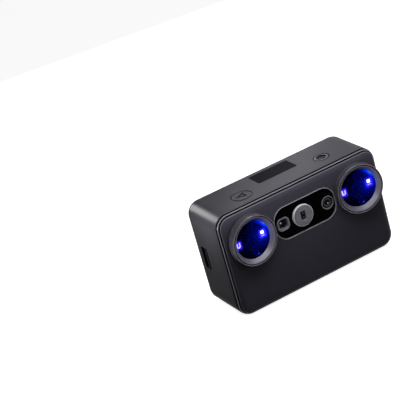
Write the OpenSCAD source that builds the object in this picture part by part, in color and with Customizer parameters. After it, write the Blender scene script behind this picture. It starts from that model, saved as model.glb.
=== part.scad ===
// Handheld three-d scanner: a rounded box with two toed-in lens rings in front and a screen behind.
// Origin: mouth of the tripod thread in the bottom face. X to the right of the front, Y rearward, Z up.
// "left" and "right" are as seen from the front, so left is -X. All sizes are in millimetres.

/* [Case] */
// Distance from a lens ring to the side of the case
side_margin = 3; // [2.6:0.1:8]
// Height of the case
case_h = 71.6; // [68:0.2:84]
// Depth of the case from its front plane to its rear plane, without the lens rings
case_d = 44.4; // [42:0.2:52]
// Radius of the four long corners of the case
corner_r = 9; // [8:0.5:12]
// Radius that rounds the front and rear edges all the way round
edge_r = 5.2; // [4.6:0.1:6]
// Wall of the middle frame
wall = 2.2; // [2:0.1:2.8]
// Middle of the case's depth behind the tripod thread
tripod_setback = 4.5; // [2:0.5:7]

/* [Front and rear rims] */
// Thickness of the front plate up to its seam
front_plate_t = 1.5; // [1.2:0.1:1.8]
// Width of the fine seam between front plate and front trim
fine_seam = 0.5; // [0.3:0.1:0.7]
// Visible width of the front trim band
front_band = 1.2; // [0.8:0.1:1.6]
// Width of the shadow gap between the front trim and the middle frame
front_gap = 1; // [0.6:0.1:1.4]
// Width of the rear trim measured inward from the case's side
rear_trim_w = 2.15; // [1.8:0.05:2.6]
// Depth of the rear trim band up to the shadow gap
rear_band = 2.9; // [2.5:0.1:3.4]
// Width of the shadow gap between the rear trim and the middle frame
rear_gap = 1.8; // [1:0.1:2.2]
// Depth of both shadow gaps below the surface
gap_depth = 1.15; // [0.9:0.05:1.3]
// Length of the lips that slide into the middle frame
lip_reach = 2.4; // [1.8:0.1:3]

/* [Lenses] */
// Distance from a lens ring to the top of the case
top_margin = 4.5; // [4:0.1:6]
// Least gap between a lens ring and the window bezel
window_gap = 0.4; // [0.3:0.1:3]
// Angle that each lens turns inward, in degrees
toe_in = 4.5; // [2:0.5:6]
// Outer radius of a lens ring
ring_r = 16.4; // [15.8:0.1:16.6]
// Height of a lens ring above the front plane, on its own axis
ring_h = 6.2; // [5:0.1:7.4]
// Depth that the ring is let into the front plate
ring_seat = 0.6; // [0.4:0.1:0.9]
// Radius of the ring's rear stem
stem_r = 14.4; // [14:0.1:14.8]
// Length of the stem behind the front plane
stem_l = 3.5; // [3:0.1:4]
// Radius of the visible window in a lens ring
window_r = 12.5; // [11.5:0.1:12.8]
// Thickness of a lens window
window_t = 1.4; // [1:0.1:1.8]
// Radius of a camera barrel
barrel_r = 5.8; // [5:0.1:6.2]
// Distance from a lens centre to each blue lamp beside it
lamp_offset = 9.2; // [9:0.1:9.6]

/* [Sensor window] */
// Height of the window bezel
pill_h = 22.8; // [21:0.2:25]
// Corner radius of the window bezel
pill_r = 9.3; // [8:0.1:10]
// Width of the bezel rim
pill_rim = 0.9; // [0.6:0.1:1.2]
// Drop of the sensor window's middle below the lens centres
pill_drop = 1.3; // [0:0.1:3]
// Sideways place of the sensor window's middle
pill_x = 0.6; // [0:0.1:1]
// Distance from the left end of the bezel to the fill light
fill_margin = 2.2; // [1.6:0.1:3]
// Gap between the fill light and the projector
fill_gap = 2.65; // [1:0.05:4]
// Gap between the projector and the colour camera
colour_gap = 7.55; // [2:0.05:9]
// Distance from the colour camera to the right end of the bezel
colour_margin = 1.5; // [1.3:0.1:3]
// Radius of the projector's round bezel
projector_r = 7.35; // [6.8:0.05:7.6]
// Height that the projector bezel stands above the front plane
projector_h = 1.5; // [1:0.1:2]
// Radius of the colour camera's ring
colour_r = 4.5; // [4:0.1:4.8]
// Side of the fill light's square bezel
fill_w = 8.8; // [8:0.1:9]

/* [Screen] */
// Width of the screen glass
glass_w = 96; // [90:0.5:100]
// Height of the screen glass
glass_h = 53.4; // [50:0.2:56]
// Thickness of the screen glass
glass_t = 1.4; // [1:0.1:1.6]
// Width of the display behind the glass
display_w = 84; // [78:0.5:86]
// Height of the display behind the glass
display_h = 49; // [46:0.5:50]
// Sideways place of the display's middle, to the right of the front
display_x = 2.9; // [0:0.1:3.5]
// Thickness of the display
display_t = 3.2; // [2.4:0.1:4]

/* [Top] */
// Radius of the scan button
scan_r = 7.1; // [6.6:0.1:7.6]
// Radius of the power button
power_r = 5.4; // [5.2:0.1:6]
// Distance of each button from the side of the case
button_from_side = 29; // [26:0.5:34]
// Travel of the buttons
button_travel = 0.8; // [0.5:0.05:1]
// Gap round a button cap
button_gap = 0.3; // [0.3:0.05:0.45]
// Width of the top window
top_window_w = 29.4; // [24:0.2:34]
// Depth of the top window
top_window_d = 14.8; // [12:0.2:15.4]

/* [Hatch] */
// Height of the hatch's top edge
hatch_top = 39.4; // [38.8:0.1:41]
// Depth of the hatch opening, front to rear
hatch_d = 24.6; // [24.2:0.1:26]
// Clearance round the hatch
hatch_gap = 0.2; // [0.15:0.05:0.3]
// Corner angle where the case floor ends, from straight down
slot_from = 20; // [18:0.5:20.5]
// Corner angle where the hatch starts, from straight down
slot_to = 28; // [27:0.5:30]
// Radius of the hinge pin
pin_r = 0.8; // [0.7:0.05:0.9]
// Running clearance of the hinge pin
pin_fit = 0.05; // [0.03:0.01:0.08]
// Travel of the latch
latch_travel = 1.5; // [1.2:0.1:1.8]

/* [Base] */
// Outer radius of the tripod insert
insert_r = 5.2; // [4.8:0.1:5.8]
// Radius of the tripod thread at its crests
thread_r = 2.6; // [2.5:0.05:3.2]
// Depth of the tripod thread
thread_l = 6.4; // [6:0.1:6.8]
// Distance from the base pad to the side of the case
pad_margin = 10.2; // [10:0.2:14]
// Front edge of the base pad, in front of the tripod thread
pad_front = 9.9; // [8:0.1:10.4]
// Rear edge of the base pad, behind the tripod thread
pad_rear = 19.6; // [16:0.1:20]
// Thickness of the base pad
pad_t = 1; // [0.8:0.1:1.2]

/* [Sides] */
// Depth of the strap eyelet, front to rear
eyelet_d = 7.8; // [7:0.1:9]
// Height of the strap eyelet
eyelet_h = 15.6; // [12:0.2:17]
// Depth of the strap eyelet into the side
eyelet_in = 7; // [6.6:0.1:7.4]
// Radius of the strap bar
strap_bar_r = 1; // [0.8:0.05:1.1]
// Drop of the charging port below the top of the case
port_drop = 17.7; // [16:0.1:18]

/* [Inside] */
// Front face of the optical bench behind the front plane
bench_back = 14.3; // [14:0.1:15]
// Thickness of the optical bench
bench_t = 2; // [1.6:0.1:2.4]
// Depth of the ribs that carry the bench and the main board
rib_d = 14.4; // [13.6:0.1:15]
// Thickness of the circuit boards
board_t = 1.6; // [1:0.1:1.8]
// Wall of the battery tray
tray_t = 1; // [0.8:0.1:1.2]
// Height of the battery tray's underside above the base
tray_z = 7.4; // [7.2:0.1:7.8]
// Gap between the battery tray and the camera boards above it
tray_gap = 5.3; // [4.8:0.1:7]
// Radius of the shank of every screw
screw_r = 1; // [0.8:0.05:1.1]
// Length of the inner screws under their heads
screw_l = 5; // [4.5:0.5:6]
// Height of the lugs over the case screws
lug_h = 2.8; // [2.4:0.1:3.2]

/* [Hidden] */
$fn = 96;

LEFT = -1;
RIGHT = 1;
big = 200;
fit = 0.05;
pill_w = fill_margin + fill_w + fill_gap + 2 * projector_r + colour_gap + 2 * colour_r + colour_margin;
lens_x = pill_w / 2 + pill_x + window_gap + ring_r;
half_w = lens_x + ring_r + side_margin;
case_w = 2 * half_w;
pad_w = case_w - 2 * pad_margin;
button_x = half_w - button_from_side;
port_z = case_h - port_drop;
mid_z = case_h / 2;
front_y = tripod_setback - case_d / 2;
rear_y = tripod_setback + case_d / 2;
in_x = half_w - wall;
in_top = case_h - wall;
corner_x = half_w - corner_r;

// Front and rear joints between the case parts
band_front = front_y + front_plate_t + fine_seam;
band_rear = band_front + front_band;
frame_front = band_rear + front_gap;
frame_rear = rear_y - rear_band - rear_gap;
lip_inset = gap_depth;
lip_t = wall - gap_depth - 0.15;
cover_t = 2.2;
bezel_t = 2.4;
glass_in = 0.2;
glass_y = rear_y - glass_t - glass_in;
glass_corner = 1.8;
glass_gap = 0.15;

// Lenses
lens_z = case_h - top_margin - ring_r;
lip_drop = 0.2;
cone_drop = 2.5;
lip_r = 15;
window_z = ring_h - lip_drop - cone_drop - 0.3;
lamp_board_t = 1;
lamp_board_z = window_z - window_t - 3.4;
lamp_t = 1.2;
barrel_front = lamp_board_z + lamp_board_t + 0.2;
barrel_back = -12;
camera_board_w = 16;
camera_board_t = 1.2;
bore_r = window_r + 0.45;

// Sensor window
pill_z = lens_z - pill_drop;
pill_seat = 1.4;
bezel_proud = 0.45;
glass_inset = pill_rim + 0.1;
fill_x = pill_x - pill_w / 2 + fill_margin + fill_w / 2;
projector_x = fill_x + fill_w / 2 + fill_gap + projector_r;
colour_x = projector_x + projector_r + colour_gap + colour_r;
sensor_proud = 0.25;
module_front = front_y + 2.6;
bench_front = front_y + bench_back;
bench_rear = bench_front + bench_t;
rib_rear = bench_rear + rib_d;
slit_w = 3.6;
slit_h = 6.2;

// Top
scan_x = -button_x;
power_x = button_x - 0.4;
scan_y = tripod_setback - 4.8;
power_y = tripod_setback - 4.2;
flange_t = 1;
flange_top = in_top;
flange_bottom = flange_top - flange_t;
button_board_z = in_top - 6.6;
button_board_t = 1;
button_board_d = 14;
button_board_y = tripod_setback - 3.5;
switch_h = 3.5;
plunger_top = button_board_z + switch_h + 0.3;
stem_bottom = plunger_top + button_travel + 0.05;
top_window_y = tripod_setback + 7.4;
top_window_t = 1.2;
top_window_r = 1.15;
antenna_r = 0.5;
top_seat_w = 1.5;

// Hatch, from straight down round the lower right corner
hatch_front = frame_front + 1.2;
hatch_rear = hatch_front + hatch_d;
hinge_angle = 40;
hinge_arm = corner_r - 1.69;
hinge_x = corner_x + hinge_arm * sin(hinge_angle);
hinge_z = corner_r - hinge_arm * cos(hinge_angle);
knuckle_r = 1.6;
pin_front = frame_front + 0.2;
pin_rear = hatch_rear + 2;
pull_y = tripod_setback - 5.1;
pull_z = hatch_top - 9.8;
pull_w = 7.8;
pull_h = 7.2;
pull_in = 1.5;
thumb_h = 2.2;
latch_t = 1;
latch_back = in_x - 0.2 - latch_t;
latch_low = pull_z - 6;
latch_high = hatch_top - hatch_gap - 0.3;
latch_w = 8;
latch_spring_l = 6;

// Base
pad_gap = 0.35;
pad_corner = 3;
insert_surround = 6.3;
boss_r = 8;
case_screw_x = pad_w / 2 + 0.1;
case_screw_front = -pad_front - 0.4;
case_screw_rear = pad_rear + 0.2;
screw_head_r = 1.15;
screw_head_in = 0.8;
lug_w = 5;
lug_overlap = 2.6;
label_in = 0.25;
label_t = 0.2;
label_w = 16.4;
label_x = -25.8;
rating_d = 18.2;
serial_d = 7.8;
label_gap = 0.4;
serial_y = -5;
rating_y = serial_y + serial_d / 2 + label_gap + rating_d / 2;

// Sides
eyelet_y = tripod_setback + 9.1;
eyelet_z = mid_z;
eyelet_wall = 1.2;
strap_bar_x = -half_w + strap_bar_r + 0.4;
strap_bar_seat = 1.2;
port_y = tripod_setback - 3.7;
port_w = 8.94;
port_h = 3.2;
port_l = 7.4;
port_set = 0.8;
indicator_w = 6.2;
indicator_h = 1.6;
indicator_rise = 4.3;
pinhole_r = 0.6;
pinhole_y = tripod_setback + 12.5;
pinhole_z = mid_z + 7.8;
mic_r = 0.7;
mic_y = tripod_setback - 0.6;
mic_z = mid_z + 0.6;
speaker_slot_l = 8.8;
speaker_slot_w = 1.1;
speaker_slot_angle = 25;
speaker_y = tripod_setback - 2.8;
speaker_w = 15;

// Inside
rib_x = half_w - 13.5;
rib_low = port_z - port_h / 2 - board_t - 5;
rib_low_h = 5;
rib_high = in_top - 9.9;
rib_high_h = 6;
rib_screw_low = rib_low + rib_low_h / 2;
rib_screw_high = rib_high + 3;
bench_screw_x = half_w - 7.8;
board_screw_x = rib_x + 3;
tray_x = half_w - eyelet_in - eyelet_wall - 0.2;
post_r = 2.5;
post_x = tray_x - 4;
speaker_x = post_r + 0.6 + speaker_w / 2 - post_x;
tray_front = hatch_front - 0.1;
tray_rear = hatch_rear - 0.7;
post_front = tray_front + 8;
post_rear = tray_rear + 3;
tray_top = lens_z - camera_board_w / 2 - tray_gap;
tray_h = tray_top - tray_z;
bench_low = tray_top + 2.1;
bench_high = button_board_z - button_board_t - 0.3;
board_front = rib_rear;
board_rear = board_front + board_t;
board_low = tray_z + tray_t + 1.6;
board_high = rib_high + rib_high_h;
board_w = 2 * (rib_x + 4.5);
battery_x = tray_x - tray_t - 1.2;
contact_t = 1.2;
sink_w = 40;
sink_h = 18;
sink_d = 7;
sink_base = 2;
fin_t = 1.5;
projector_module_w = 15;
sensor_module_w = 9;
fill_lamp_r = 2.4;
screw_head_t = 1.2;
cap_head_r = 1.9;

// Rounded rectangle round the origin
module rrect(w, h, r) {
    square([w - 2 * r, h], center = true);
    square([w, h - 2 * r], center = true);
    for (sx = [-1, 1], sy = [-1, 1])
        translate([sx * (w / 2 - r), sy * (h / 2 - r)]) circle(r);
}

// Upright rounded plate from y0 back to y1, round the point (cx, cz)
module upright(w, h, r, y0, y1, cx = 0, cz = mid_z) {
    translate([cx, y1, cz]) rotate([90, 0, 0]) linear_extrude(y1 - y0) rrect(w, h, r);
}

// Level rounded plate from z0 up to z1, round the point (cx, cy)
module level(w, d, r, z0, z1, cx = 0, cy = 0) {
    translate([cx, cy, z0]) linear_extrude(z1 - z0) rrect(w, d, r);
}

// Box between two corners
module box(low, high) {
    translate(low) cube(high - low);
}

// Round bar along Y
module bar_y(r, y0, y1, cx, cz) {
    translate([cx, y1, cz]) rotate([90, 0, 0]) cylinder(h = y1 - y0, r = r);
}

// Round bar along X
module bar_x(r, x0, x1, cy, cz) {
    translate([x0, cy, cz]) rotate([0, 90, 0]) cylinder(h = x1 - x0, r = r);
}

// Everything between two depths
module depth_band(y0, y1) {
    box([-big, y0, -big], [big, y1, big]);
}

// Solid outer form of the case
module case_block() {
    translate([-corner_x, tripod_setback, mid_z])
        rotate([90, 0, 90]) linear_extrude(2 * corner_x) rrect(case_d, case_h, edge_r);
    translate([0, tripod_setback, corner_r])
        linear_extrude(case_h - 2 * corner_r) rrect(case_w, case_d, edge_r);
    for (sx = [-1, 1], sz = [-1, 1])
        translate([sx * corner_x, tripod_setback, mid_z + sz * (mid_z - corner_r)])
            rotate([90, 0, 0]) rotate_extrude() intersection() {
                rrect(2 * corner_r, case_d, edge_r);
                translate([0, -case_d / 2]) square([corner_r, case_d]);
            }
}

// Prism with the case's outline, set in by an inset
module case_prism(inset, y0, y1) {
    upright(case_w - 2 * inset, case_h - 2 * inset, corner_r - inset, y0, y1);
}

// Closed ring with the case's outline, between two insets
module case_ring(outer, inner, y0, y1) {
    difference() {
        case_prism(outer, y0, y1);
        case_prism(inner, y0 - 1, y1 + 1);
    }
}

// Wedge and wall that the hatch covers, as a section across X and Z
module hatch_region(from_angle, top) {
    polygon([
        [corner_x, corner_r],
        [corner_x + big * sin(from_angle), corner_r - big * cos(from_angle)],
        [corner_x + big, corner_r]
    ]);
    translate([corner_x, corner_r]) square([big, top - corner_r]);
}

// Lip that slides into the middle frame, or its seat, left out where the hatch is
module lip_ring(outer, inner, y0, y1) {
    difference() {
        case_ring(outer, inner, y0, y1);
        translate([0, hatch_rear + 1, 0]) rotate([90, 0, 0])
            linear_extrude(hatch_d + 2) hatch_region(slot_from - 5, hatch_top + 1);
    }
}

// Lugs on a trim's lip that stand on the floor of the case over its screws
module lip_lugs(y_screw, y_lip, dir) {
    far = y_screw - dir * lug_overlap;
    near = y_lip - dir * lip_reach;
    intersection() {
        for (side = [LEFT, RIGHT])
            box([side * case_screw_x - lug_w / 2, min(far, y_lip), 0],
                [side * case_screw_x + lug_w / 2, max(far, y_lip), wall + lug_h]);
        union() {
            case_prism(wall, min(far, y_lip), max(far, y_lip));
            case_prism(lip_inset, min(near, y_lip), max(near, y_lip));
        }
    }
}

// Holes round the sensors that stand in the window, with their clearance
module sensor_ports(grow, y0, y1) {
    bar_y(projector_r + grow, y0, y1, projector_x, pill_z);
    bar_y(colour_r + grow, y0, y1, colour_x, pill_z);
    upright(fill_w + 2 * grow, fill_w + 2 * grow, 3 + grow, y0, y1, fill_x, pill_z);
}

// Children stand on the lens axis: Z points out of the front, Y up
module lens_frame(side) {
    translate([side * lens_x, front_y, lens_z])
        rotate([0, 0, -side * toe_in]) rotate([90, 0, 0]) children();
}

// Disc on a lens axis
module lens_disc(side, r, z0, z1) {
    lens_frame(side) translate([0, 0, z0]) cylinder(h = z1 - z0, r = r);
}

// Holes that the lens rings need in the front plate
module lens_openings() {
    for (side = [LEFT, RIGHT]) {
        lens_disc(side, stem_r + fit, -cover_t - 4, ring_h);
        intersection() {
            lens_disc(side, ring_r + fit, -cover_t - 4, ring_h);
            depth_band(front_y - big, front_y + ring_seat);
        }
    }
}

// Bar inside the case that carries the bench and the main board
module rib(side, z0, h) {
    x0 = side == LEFT ? -in_x - 0.5 : rib_x;
    box([x0, bench_rear, z0], [x0 + in_x + 0.5 - rib_x, rib_rear, z0 + h]);
}

module rib_screw_places(x) {
    for (side = [LEFT, RIGHT], z = [rib_screw_low, rib_screw_high]) translate([side * x, 0, z]) children();
}

module case_screw_places() {
    for (side = [LEFT, RIGHT], y = [case_screw_front, case_screw_rear])
        translate([side * case_screw_x, y, 0]) children();
}

// The screws inside the case, each drawn by the child with its head at the origin and its shank along -Z
module frame_screw_places() {
    rib_screw_places(bench_screw_x) translate([0, bench_front, 0]) rotate([90, 0, 0]) children();
    rib_screw_places(board_screw_x) translate([0, board_rear, 0]) rotate([-90, 0, 0]) children();
    for (side = [LEFT, RIGHT]) translate([side * post_x, post_rear, tray_z + tray_t]) children();
}

module frame_screw_shanks(grow) {
    frame_screw_places() translate([0, 0, -screw_l]) cylinder(h = screw_l + 0.5, r = screw_r + grow);
}

module speaker_slot() {
    translate([-corner_x, speaker_y + speaker_slot_l / 2, corner_r]) rotate([0, speaker_slot_angle, 0])
        translate([-speaker_slot_w / 2, -speaker_slot_l, -corner_r - 1])
            cube([speaker_slot_w, speaker_slot_l, wall + 2]);
}

module port_shape(grow, x0, x1) {
    translate([x0, port_y, port_z]) rotate([90, 0, 90])
        linear_extrude(x1 - x0) rrect(port_w + 2 * grow, port_h + 2 * grow, port_h / 2 + grow - 0.01);
}

module indicator_shapes(grow, x0, x1) {
    for (s = [-1, 1])
        translate([x0, port_y, port_z + s * indicator_rise]) rotate([90, 0, 90])
            linear_extrude(x1 - x0) rrect(indicator_w + 2 * grow, indicator_h + 2 * grow, 0.5);
}

module eyelet_shape(grow, x0, x1) {
    translate([x0, eyelet_y, eyelet_z]) rotate([90, 0, 90])
        linear_extrude(x1 - x0) rrect(eyelet_d + 2 * grow, eyelet_h + 2 * grow, 1.2 + grow);
}

module middle_frame() {
    color([0.30, 0.30, 0.32]) difference() {
        union() {
            difference() {
                intersection() {
                    case_block();
                    depth_band(frame_front, frame_rear);
                }
                case_prism(wall, frame_front - 1, frame_rear + 1);
            }
            for (side = [LEFT, RIGHT]) {
                rib(side, rib_low, rib_low_h);
                rib(side, rib_high, rib_high_h);
            }
            for (sx = [-1, 1], sy = [-1, 1])
                translate([sx * (button_x + 12) - 2, button_board_y + sy * 5 - 2, button_board_z])
                    cube([4, 4, in_top - button_board_z + 0.5]);
            translate([0, 0, pad_t]) cylinder(h = tray_z - pad_t, r = boss_r);
            for (side = [LEFT, RIGHT], y = [post_front, post_rear])
                translate([side * post_x, y, wall - 0.5]) cylinder(h = tray_z - wall + 0.5, r = post_r);
            eyelet_shape(eyelet_wall, -half_w + 1, -half_w + eyelet_in + eyelet_wall);
            bar_y(knuckle_r, frame_front, hatch_front, hinge_x, hinge_z);
            bar_y(knuckle_r, hatch_rear, hatch_rear + 2.2, hinge_x, hinge_z);
        }
        lip_ring(lip_inset - fit, wall + 1, frame_front - 1, frame_front + lip_reach + 0.1);
        lip_ring(lip_inset - fit, wall + 1, frame_rear - lip_reach - 0.1, frame_rear + 1);
        translate([0, hatch_rear, 0]) rotate([90, 0, 0])
            linear_extrude(hatch_d) hatch_region(slot_from, hatch_top);
        bar_y(pin_r, pin_front, pin_rear, hinge_x, hinge_z);
        translate([scan_x, scan_y, in_top - 1]) cylinder(h = wall + 2, r = scan_r + button_gap);
        translate([power_x, power_y, in_top - 1]) cylinder(h = wall + 2, r = power_r + button_gap);
        level(top_window_w + 2 * fit, top_window_d + 2 * fit, top_window_r + fit,
            case_h - top_window_t, case_h + 1, 0, top_window_y);
        level(top_window_w - 2 * top_seat_w, top_window_d - 2 * top_seat_w, antenna_r + 0.3,
            in_top - 1, case_h, 0, top_window_y);
        port_shape(fit, in_x - 2, half_w + 1);
        indicator_shapes(fit, in_x - 1, half_w + 1);
        bar_x(pinhole_r, in_x - 1, half_w + 1, pinhole_y, pinhole_z);
        bar_x(mic_r, -half_w - 1, -in_x + 1, mic_y, mic_z);
        eyelet_shape(0, -half_w - 1, -half_w + eyelet_in);
        translate([strap_bar_x, eyelet_y, eyelet_z - eyelet_h / 2 - strap_bar_seat])
            cylinder(h = eyelet_h + 2 * strap_bar_seat, r = strap_bar_r);
        speaker_slot();
        level(pad_w + 2 * pad_gap, pad_front + pad_rear + 2 * pad_gap, pad_corner + pad_gap, -1, pad_t,
            0, (pad_rear - pad_front) / 2);
        translate([0, 0, -1]) cylinder(h = thread_l + 1, r = insert_r);
        case_screw_places() translate([0, 0, -1]) cylinder(h = wall + 2, r = screw_r + fit);
        case_screw_places() translate([0, 0, -1]) cylinder(h = 1 + screw_head_in, r = screw_head_r + fit);
        frame_screw_shanks(0);
    }
}

module front_trim() {
    color([0.33, 0.33, 0.35]) difference() {
        union() {
            intersection() {
                case_block();
                depth_band(band_front, band_rear);
            }
            case_prism(lip_inset, band_front + 0.4, frame_front - 0.1);
            lip_ring(lip_inset, wall, frame_front - 0.2, frame_front + lip_reach);
            lip_lugs(case_screw_front, frame_front + 0.1, -1);
        }
        difference() {
            case_prism(lip_inset + lip_t, band_front - 1, frame_front + lip_reach + 1);
            lip_lugs(case_screw_front, frame_front + 0.1, -1);
        }
        case_screw_places() translate([0, 0, -1]) cylinder(h = tray_z, r = screw_r);
    }
}

module front_cover() {
    cover_lip = lip_inset + lip_t + fit;
    color([0.23, 0.23, 0.25]) difference() {
        union() {
            intersection() {
                case_block();
                depth_band(front_y, front_y + front_plate_t);
            }
            case_prism(cover_lip, front_y + 1, front_y + cover_t);
            case_ring(cover_lip, cover_lip + 1.2, front_y + 1, frame_front - 0.3);
        }
        lens_openings();
        upright(pill_w + 2 * fit, pill_h + 2 * fit, pill_r + fit,
            front_y - 1, front_y + pill_seat, pill_x, pill_z);
        upright(pill_w - 6, pill_h - 5, pill_r - 2.5, front_y, front_y + 4, pill_x, pill_z);
        sensor_ports(0.1, front_y, front_y + 4);
    }
}

module rear_trim() {
    ledge_y = rear_y - bezel_t;
    color([0.33, 0.33, 0.35]) difference() {
        union() {
            intersection() {
                case_block();
                depth_band(rear_y - rear_band, rear_y);
            }
            case_prism(lip_inset, frame_rear + 0.1, rear_y - rear_band + 0.4);
            lip_ring(lip_inset, wall, frame_rear - lip_reach, frame_rear + 0.2);
            lip_lugs(case_screw_rear, frame_rear - 0.1, 1);
        }
        case_prism(rear_trim_w, ledge_y, rear_y + 1);
        case_prism(rear_trim_w + 1.4, ledge_y - 1.2, ledge_y + 1);
        difference() {
            case_prism(lip_inset + lip_t, frame_rear - lip_reach - 1, ledge_y - 1.2);
            lip_lugs(case_screw_rear, frame_rear - 0.1, 1);
        }
        case_screw_places() translate([0, 0, -1]) cylinder(h = tray_z, r = screw_r);
    }
}

module rear_bezel() {
    outline = rear_trim_w + fine_seam;
    color([0.34, 0.34, 0.36]) difference() {
        intersection() {
            case_block();
            case_prism(outline, rear_y - bezel_t, rear_y + 1);
        }
        upright(glass_w + 2 * glass_gap, glass_h + 2 * glass_gap, glass_corner + glass_gap,
            glass_y, rear_y + 1);
        upright(display_w + 1, display_h + 1, 1, rear_y - bezel_t - 1, rear_y, display_x);
    }
}

module screen_glass() {
    color([0.03, 0.03, 0.035]) upright(glass_w, glass_h, glass_corner, glass_y, glass_y + glass_t);
}

module display_module() {
    color([0.08, 0.08, 0.09])
        upright(display_w, display_h, 0.8, glass_y - display_t, glass_y, display_x);
}

module base_pad() {
    pad_y = (pad_rear - pad_front) / 2;
    color([0.29, 0.29, 0.31]) difference() {
        level(pad_w, pad_front + pad_rear, pad_corner, 0, pad_t, 0, pad_y);
        translate([0, 0, -1]) cylinder(h = pad_t + 2, r = insert_surround);
        label_plate(rating_d, rating_y, 0.1, -1, label_in);
        label_plate(serial_d, serial_y, 0.1, -1, label_in);
    }
}

module label_plate(d, y, grow, z0, z1) {
    level(label_w + 2 * grow, d + 2 * grow, 0.8, z0, z1, label_x, y);
}

module rating_label() {
    color([0.22, 0.22, 0.24])
        label_plate(rating_d, rating_y, 0, label_in - label_t, label_in);
}

module serial_label() {
    color([0.22, 0.22, 0.24]) label_plate(serial_d, serial_y, 0, label_in - label_t, label_in);
}

module case_screws() {
    color([0.15, 0.15, 0.16]) case_screw_places() difference() {
        union() {
            translate([0, 0, 0.1]) cylinder(h = screw_head_in - 0.1, r = screw_head_r);
            translate([0, 0, 0.5]) cylinder(h = wall + lug_h - 0.8, r = screw_r);
        }
        translate([0, 0, -0.6]) cylinder(h = 1.2, r = 0.55, $fn = 6);
    }
}

module tripod_insert() {
    color([0.72, 0.72, 0.72]) difference() {
        cylinder(h = thread_l, r = insert_r);
        translate([0, 0, -1]) cylinder(h = thread_l + 2, r = thread_r);
    }
}

module top_window() {
    color([0.12, 0.12, 0.13])
        level(top_window_w, top_window_d, top_window_r, case_h - top_window_t, case_h, 0, top_window_y);
}

module antenna_board() {
    antenna_w = top_window_w - 2 * top_seat_w - 0.6;
    antenna_d = top_window_d - 2 * top_seat_w - 0.6;
    color([0.45, 0.3, 0.12])
        level(antenna_w, antenna_d, antenna_r, in_top - 0.8, case_h - top_window_t, 0, top_window_y);
}

// Cap, flange and stem shared by both buttons
module button_body(x, y, r) {
    translate([x, y, flange_top]) cylinder(h = case_h - flange_top, r = r);
    translate([x, y, flange_bottom]) cylinder(h = flange_t, r = r + 1);
    translate([x, y, stem_bottom]) cylinder(h = flange_bottom - stem_bottom + 0.1, r = 1.5);
}

module scan_button() {
    color([0.31, 0.31, 0.33]) difference() {
        button_body(scan_x, scan_y, scan_r);
        translate([scan_x, scan_y, case_h - 0.3]) linear_extrude(1) difference() {
            polygon([[-3.6, 0.2], [2.6, 3.6], [2.6, -3.2]]);
            polygon([[-2.0, 0.2], [1.8, 2.3], [1.8, -1.9]]);
        }
    }
}

module power_button() {
    dish_in = 0.5;
    dish_r = power_r - 0.8;
    dish_ball = (dish_r * dish_r + dish_in * dish_in) / (2 * dish_in);
    color([0.31, 0.31, 0.33]) difference() {
        button_body(power_x, power_y, power_r);
        translate([power_x, power_y, case_h - dish_in + dish_ball]) sphere(dish_ball);
        translate([power_x, power_y, case_h - dish_in - 0.3]) linear_extrude(2) {
            difference() {
                circle(2.5);
                circle(1.9);
                translate([-0.8, 0]) square([1.6, 3]);
            }
            translate([-0.3, 0.5]) square([0.6, 2.4]);
        }
    }
}

module button_spring(x, y) {
    translate([x, y, button_board_z]) difference() {
        cylinder(h = flange_bottom - button_board_z, r = 5.1);
        translate([0, 0, -1]) cylinder(h = flange_bottom - button_board_z + 2, r = 4.5);
    }
}

module scan_spring() {
    color("silver") button_spring(scan_x, scan_y);
}

module power_spring() {
    color("silver") button_spring(power_x, power_y);
}

module button_board() {
    color([0.05, 0.25, 0.14])
        level(2 * button_x + 29, button_board_d, 1, button_board_z - button_board_t, button_board_z,
            0, button_board_y);
}

module button_switches() {
    color([0.2, 0.2, 0.2]) for (place = [[scan_x, scan_y], [power_x, power_y]])
        translate([place[0], place[1], button_board_z]) {
            translate([-3, -3, 0]) cube([6, 6, switch_h]);
            cylinder(h = plunger_top - button_board_z, r = 1.6);
        }
}

module usb_port() {
    mouth = half_w - port_set;
    color([0.62, 0.62, 0.64]) {
        difference() {
            port_shape(0, mouth - port_l, mouth);
            port_shape(-0.3, mouth - port_l + 1, mouth + 1);
        }
        box([mouth - port_l + 0.5, port_y - 3.3, port_z - 0.35], [mouth - 1, port_y + 3.3, port_z + 0.35]);
    }
}

module usb_board() {
    board_z = port_z - port_h / 2;
    color([0.05, 0.25, 0.14])
        box([rib_x + 1, bench_rear + 0.1, board_z - board_t], [in_x - 0.4, port_y + 8, board_z]);
}

module charge_indicators() {
    color([0.85, 0.86, 0.88]) indicator_shapes(0, in_x - 0.4, half_w - 0.1);
}

module side_hatch() {
    y0 = hatch_front + hatch_gap;
    y1 = hatch_rear - hatch_gap;
    color([0.30, 0.30, 0.32]) difference() {
        union() {
            translate([0, y1, 0]) rotate([90, 0, 0]) linear_extrude(y1 - y0) intersection() {
                difference() {
                    translate([0, mid_z]) rrect(case_w, case_h, corner_r);
                    translate([0, mid_z]) rrect(case_w - 2 * wall, case_h - 2 * wall, corner_r - wall);
                }
                hatch_region(slot_to, hatch_top - hatch_gap);
            }
            bar_y(knuckle_r, y0, y1, hinge_x, hinge_z);
            for (s = [-1, 1])
                box([latch_back - 0.2, pull_y + s * (latch_w / 2 + 0.9) - 0.7, latch_low],
                    [in_x + 0.5, pull_y + s * (latch_w / 2 + 0.9) + 0.7, latch_high - 1]);
            box([latch_back - 0.2, pull_y - 2, latch_low - latch_spring_l - 1.2],
                [in_x + 0.5, pull_y + 2, latch_low - latch_spring_l]);
        }
        bar_y(pin_r + pin_fit, y0 - 1, y1 + 1, hinge_x, hinge_z);
        translate([half_w - pull_in, pull_y, pull_z]) rotate([90, 0, 90])
            linear_extrude(pull_in + 1) rrect(pull_w, pull_h, 1);
        box([in_x - 1, pull_y - 2.2, pull_z - thumb_h / 2 - latch_travel - 0.15],
            [half_w, pull_y + 2.2, pull_z + thumb_h / 2 + 0.15]);
    }
}

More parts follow.
